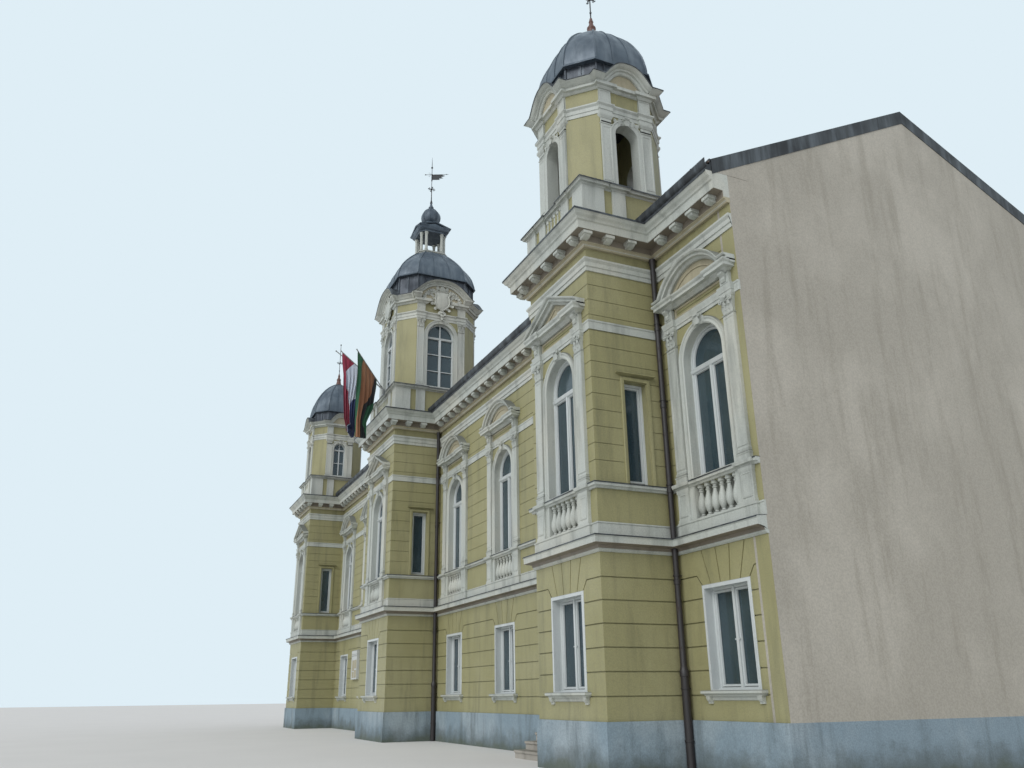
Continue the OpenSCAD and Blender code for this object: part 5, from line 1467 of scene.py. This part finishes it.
leftFlag = {
    "pole": 1, "topFrom": 0.52, "folds": 7, "deep": 0.055, "seed": 4.2,
    "left": mm("510 2300, 830 1310", z=low) + mm("-650 60", tips[1], low),
    "right": mm("-50 3200, -130 2100, -240 700, -370 260", tips[1], low),
    "bottom": mm("-650 60, -560 10, -370 240", tips[1], low),
    "shades": (("flagBlue", 0.33), ("flagPale", 0.67), ("flagMaroon", 1.0)),
    "edges": ((0, 0.05, 0.55), (0.22, 0.06, 0.9), (0.38, 0.15, 0.9), (0.5, 0.5, 0.74), (0.6, 0.6, 0.66),
              (0.84, 0.5, 0.55), (0.93, 0.88, 0.94), (1, 0.9, 0.95)),
}


# the middle of the cloth, gathered along its pole and fallen into upright folds inside the CAD slab's outline
def flagPoint(spec, i, j):
    left, right, seed = spec["left"], spec["right"], spec["seed"]
    v = j / flag["down"]
    u = stripePlace(i / flag["across"], v, spec["shades"], spec["edges"])
    rTop = spec["topFrom"] + (right[0][0] - spec["topFrom"]) * u
    lean = pole["lean"]
    zTop = pole["z"] + rTop / (sin(lean) / cos(lean)) - (pole["r"] + flag["gap"]) / sin(lean)
    foot = left[-1][0] + (right[-1][0] - left[-1][0]) * u
    z = zTop + (between([(z, r) for r, z in spec["bottom"]], foot) - zTop) * v
    fall = min(1.0, (zTop - z) / flag["fallen"])
    spanL, spanR = between(left, z), between(right, z)
    r = rTop + (spanL + (spanR - spanL) * (0.04 + 0.92 * u) - rTop) * fall * fall * (3 - 2 * fall)
    sway = noise.noise(Vector((u * 2.3, v * 1.7, seed)))
    phase = 2 * pi * (spec["folds"] * u + 0.35 * sway + 0.12 * sin(4 * v + seed))
    uneven = 0.8 + 0.35 * noise.noise(Vector((u * 4, v * 2, seed + 5)))
    swell = spec["deep"] * min(1.0, 0.12 + 2.2 * v) * uneven
    y = swell * (sin(phase) + 0.22 * sin(2 * phase + 1.1)) if j else 0.0
    y = max(-flag["deepest"], min(flag["deepest"], y))
    return Vector((r + 0.35 * swell * cos(phase) * min(1, 3 * v), y, z))


def flagPiece(name, spec, slot, node):
    across, down = flag["across"], flag["down"]
    grid = [[flagPoint(spec, i, j) for i in range(across + 1)] for j in range(down + 1)]
    rings = []
    for j, line in enumerate(grid):
        ring = []
        for side in (1, -1):
            for i in range(across + 1)[::side]:
                along = line[min(i + 1, across)] - line[max(i - 1, 0)]
                fallen = grid[min(j + 1, down)][i] - grid[max(j - 1, 0)][i]
                ring.append(line[i] + along.cross(fallen).normalized() * flag["thick"] * side)
        rings.append(ring)
    bm = newPart()
    loft(bm, rings)
    mesh = asMesh(bm, name, 60)
    mesh.transform(poleMatrix(spec["pole"]))
    for shade, upTo in spec["shades"]:
        mesh.materials.append(materials[shade])
    ringCount = 2 * (across + 1)
    for n, face in enumerate(mesh.polygons):
        i = n % ringCount if n < ringCount * down else 0
        u = (i if i <= across else ringCount - 1 - i) / across
        face.material_index = next(m for m, (shade, upTo) in enumerate(spec["shades"]) if u <= upTo)
    cloth = addPiece(name, mesh, "", (node,), slot)
    print(name, "area", round(sum(face.area for face in mesh.polygons) / 2, 2))


flagPiece("right_banner", rightFlag, "flag_cloth_b", "right_flag")
flagPiece("left_banner", leftFlag, "flag_cloth_a", "left_flag")
print("poles and flags done")

# roof tiles: one tile laid in rows up each slope by the copying tree, half-round tiles along the ridge
roofLow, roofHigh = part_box("main_roof")
roof = {"ridge": (roofLow.y + roofHigh.y) / 2, "thick": 0.18, "wide": 0.3, "gauge": 0.34, "long": 0.4,
        "overhang": 0.04, "ridgeGauge": 0.38, "aside": 0.2, "behindCentre": 3.25, "behindSide": 2.6}
roof["pitch"] = atan2(roofHigh.z - level["eaves"] - roof["thick"], roof["ridge"] - roofLow.y)


def tilePart():
    c, s = cos(roof["pitch"]), sin(roof["pitch"])
    section = mm("-150 0, -150 14, 90 14, 105 32, 140 32, 155 14, 155 0")
    bm = newPart()
    loft(bm, [[(x, a * c - (n + up) * s, a * s + (n + up) * c) for x, n in section]
              for a, up in ((0, 0.024), (roof["long"], 0.001))])
    return bm


# none of the front tiles lies in a parapet or tower
def tileSpots(front):
    c, s, spots = cos(roof["pitch"]), sin(roof["pitch"]), []
    columns = int(2 * plan["party"] / roof["wide"])
    for j in range(int((roof["ridge"] - roofLow.y) / c / roof["gauge"])):
        y = roofLow.y - roof["overhang"] + j * roof["gauge"] * c
        z = level["eaves"] + roof["thick"] + (j * roof["gauge"] - roof["overhang"]) * s
        for i in range(columns):
            x = (i + 0.5 - columns / 2) * roof["wide"]
            centreOff = abs(x) > plan["centreHalf"] + roof["aside"] or y > plan["front"] + roof["behindCentre"]
            sideOff = (abs(abs(x) - plan["sideX"]) > plan["sideHalf"] + roof["aside"]
                       or y > plan["front"] + roof["behindSide"])
            if not front:
                spots.append((x, 2 * roof["ridge"] - y, z, 180))
            elif centreOff and sideOff:
                spots.append((x, y, z, 0))
    return spots


repeat("front_tiles", tilePart(), tileSpots(True), "roofTiles", (), None)
repeat("back_tiles", tilePart(), tileSpots(False), "roofTiles", (), None)
bm = newPart()
loft(bm, [[(x, y, z) for y, z in arc(0, -0.05, r, 5, 175, 8) + arc(0, -0.05, r - 0.02, 175, 5, 8)]
          for x, r in ((0, 0.135), (0.42, 0.12))])
count = int(2 * (plan["party"] - 0.02) / roof["ridgeGauge"])
ridgeSpots = [((k - count / 2) * roof["ridgeGauge"], roof["ridge"], roofHigh.z, 0) for k in range(count)]
repeat("ridge_tiles", bm, ridgeSpots, "roofTiles", (), 40)
bm, ends, eaves = newPart(), newPart(), level["eaves"]
slopes = ((roofLow.y, highest("right_wing_wall").y), (roofHigh.y, lowest("back_wall").y))
for side in (-1, 1):
    line = [(roofLow.y, eaves + roof["thick"]), (roof["ridge"], roofHigh.z), (roofHigh.y, eaves + roof["thick"])]
    sweep(bm, line, mm("-215 -20, -215 12, 70 16, 70 -130, 55 -130, 55 -20"), plumb=True,
          lay=lambda u, v, out, side=side: (side * (plan["party"] + out), u, v))
    for y0, y1 in slopes:  # plaster over the roof's end between the eaves and the walls
        climb = abs(y1 - y0) * tan(roof["pitch"]) + 0.1
        x0, x1 = sorted((side * (plan["party"] - 0.02), side * (plan["party"] + 0.005)))
        beam(ends, x0, x1, ((y0, eaves - 0.004), (y1, eaves - 0.004), (y1, eaves + climb), (y0, eaves + 0.1)))
piece("verge_strips", bm, "flashing")
piece("verge_ends", ends, "partyPlaster")
print("roof done")

# entrance: two panelled leaves in a moulded casing, and steps with rounded nosings
door = {"panels": ((0.14, 0.52), (0.64, 1.32), (1.44, 1.98)), "rails": (0.58, 1.38), "stile": 0.12, "knob": 1.02,
        "raised": ((0, -0.02), (0, -0.006), (0.02, 0.004), (0.05, 0.004), (0.07, 0.012)), "steps": 4}


def entrance():
    low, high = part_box("entrance_door")
    x, w, z0, z1, face = middle((low, high)).x, high.x - low.x, low.z, high.z, low.y
    wood, trim, iron = newPart(), newPart(), newPart()
    post(wood, 0, w / 2, 0.012, 0.06, z0, z1)
    for s in (-1, 1):
        x0, x1 = sorted((s * 0.004, s * (w / 2 - 0.05)))
        panel(wood, x0, x1, z0 + 0.02, z1 - 0.06, mm("-100 -20, -100 0, -85 12, 0 12, 0 -20"))
        for foot, head in door["panels"]:
            a, b, c, d = x0 + door["stile"], x1 - door["stile"], z0 + foot, z0 + head
            loft(wood, [[(u, -out, v) for u, v in ((a + i, c + i), (b - i, c + i), (b - i, d - i), (a + i, d - i))]
                        for i, out in door["raised"]])
        for rail in door["rails"]:
            block(wood, x0 + 0.05, x1 - 0.05, -0.01, 0.03, z0 + rail - 0.05, z0 + rail + 0.05)
        turned(iron, mm("20 0, 20 10, 8 14, 8 50, 20 60, 22 80, 2 90"), 12, outward(s * 0.09, 0.01, z0 + door["knob"]))
    sweep(wood, rectPath(-w / 2, w / 2, z0 - 0.05, z1), mm("-50 -50, -50 20, 0 20, 0 -50"))
    post(wood, 0, 0.025, -0.028, 0.01, z0 + 0.02, z1 - 0.05)
    sweep(trim, rectPath(-w / 2, w / 2, z0 - 0.02, z1),
          mm("-4 -160, -4 20, 10 30, 100 30, 110 50, 140 50, 140 -20, 0 -20, 0 -160"))
    hood = mm("30 0, 60 30, 60 60, 120 90, 130 140, 20 160")
    ledge(trim, 0, w / 2 + 0.2, 0, rows(z1 + 0.14, hood))
    piece("door_leaves", wood, "doorWood", ("entrance_door",), 35, (x, face))
    piece("door_casing", trim, "paleTrim", (), 35, (x, plan["wing"]))
    piece("door_knobs", iron, "brass", (), 35, (x, face))
    low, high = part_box("entrance_steps")
    count = door["steps"]
    deep, rise = (high.y - low.y) / count, high.z / count
    bm = newPart()
    for k in range(count):
        y0, z = low.y + k * deep, (k + 1) * rise
        beam(bm, low.x, high.x, [(high.y, 0), (high.y, z)] + mm("12 0, 2 -8, 0 -30, 6 -50, 30 -60", y0, z)
             + [(y0 + 0.03, 0)])
    piece("door_steps", bm, "stepStone", ("entrance_steps",))


entrance()

# notice board: a framed case with blank sheets, given as middle x, width, middle z and height
noticeSheets = ((-0.23, 0.3, 0.55, 0.42), (0.14, 0.34, 0.6, 0.34), (0.12, 0.3, 0.22, 0.3), (-0.24, 0.26, 0.15, 0.3))
low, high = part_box("notice_board")
face, half, z0, z1 = high.y - low.y, (high.x - low.x) / 2, low.z, high.z
at = (middle((low, high)).x, high.y)
bm, sheets = newPart(), newPart()
post(bm, 0, half - 0.01, -face + 0.03, 0.0, z0 + 0.01, z1 - 0.01)
panel(bm, -half, half, z0, z1 - 0.16, mm("-60 0") + mm("-60 -10, -50 0, 0 0", z=face) + mm("0 0"))
bracket(bm, 0, half, [(0, z1 - 0.17)] + mm("0 -170, 0 -30, -30 0", face, z1) + [(0, z1)])
for x, w, z, h in noticeSheets:
    post(sheets, x, w / 2, -face + 0.022, -face + 0.031, z0 + z - h / 2, z0 + z + h / 2)
piece("notice_case", bm, "boardPaint", ("notice_board",), 35, at)
piece("notice_sheets", sheets, "creamTrim", (), 35, at, "board_paint")
print("fittings done")

# every CAD node that still shows gets its finish
finishOf = {
    "yellowPlaster": ["right_end_wall", "right_wing_wall", "left_wing_wall", "left_end_wall", "right_pavilion",
                      "centre_pavilion", "left_pavilion", "back_wall"],
    "paleTrim": ["belt_course", "sill_course", "architrave"],
    "plinthPlaster": ["plinth"],
    "partyPlaster": ["party_walls"],
    "floorBoards": ["ground_floor", "upper_floor", "attic_floor"],
    "windowGlass": ["ground_window_glass", "upper_window_glass", "tower_window_glass"],
    "roofTiles": ["main_roof"],
}
for finish, nodeNames in finishOf.items():
    for nodeName in nodeNames:
        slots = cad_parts[nodeName].data.materials
        slots.clear()
        slots.append(materials[finish])

# floor, pale sky and soft light
studio = {"floor": 400.0, "floorColours": ("#c9c8c4", "#d2d1cd"), "sky": "#dfeef6", "paintedSkyGlow": 0.25,
          "light": "#f4f8ff", "fill": 0.72, "sun": 1.5, "sunAngle": 40, "sunTurn": (52, 0, 28)}


def addStage():
    bm, half = newPart(), studio["floor"] / 2
    post(bm, 0, half, -half, half, -1.0, 0.0)
    floor = bpy.data.objects.new("floor", asMesh(bm, "floor"))
    # the floor glows in the sky's colour only where it is seen in reflections and through glass: a painted sky
    # reflection, since the floor is no lamp
    material, tree = newMaterial("paleFloor", 0.9, Emission_Color=colour(studio["sky"]))
    surface, looks = tree.nodes["Principled BSDF"], put(tree, "ShaderNodeLightPath").outputs
    seen = sums(tree, "MAXIMUM", looks["Is Glossy Ray"], looks["Is Transmission Ray"])
    soft = mixed(tree, stretchedNoise(tree, (1, 1, 1), 0.4), *studio["floorColours"])
    tree.links.new(soft, surface.inputs["Base Color"])
    tree.links.new(times(tree, seen, studio["paintedSkyGlow"]), surface.inputs["Emission Strength"])
    floor.data.materials.append(material)
    scene.collection.objects.link(floor)
    world = bpy.data.worlds.new("softSky")
    scene.world = world
    world.use_nodes = True
    sky = world.node_tree
    sky.nodes.clear()
    looks = put(sky, "ShaderNodeLightPath").outputs
    seen = sums(sky, "MAXIMUM", looks["Is Glossy Ray"], looks["Is Transmission Ray"])
    seen = sums(sky, "MAXIMUM", looks["Is Camera Ray"], seen)
    fill = put(sky, "ShaderNodeBackground", {"Color": colour(studio["light"]), "Strength": studio["fill"]})
    shown = put(sky, "ShaderNodeBackground", {"Color": colour(studio["sky"]), "Strength": 1.0})
    both = put(sky, "ShaderNodeMixShader", {0: seen, 1: fill.outputs[0], 2: shown.outputs[0]})
    sky.links.new(both.outputs[0], put(sky, "ShaderNodeOutputWorld").inputs[0])
    sun = bpy.data.objects.new("sun", bpy.data.lights.new("sun", "SUN"))
    sun.data.energy = studio["sun"]
    sun.data.angle = radians(studio["sunAngle"])
    sun.rotation_euler = [radians(a) for a in studio["sunTurn"]]
    scene.collection.objects.link(sun)


addStage()
scene.view_settings.view_transform = "Standard"
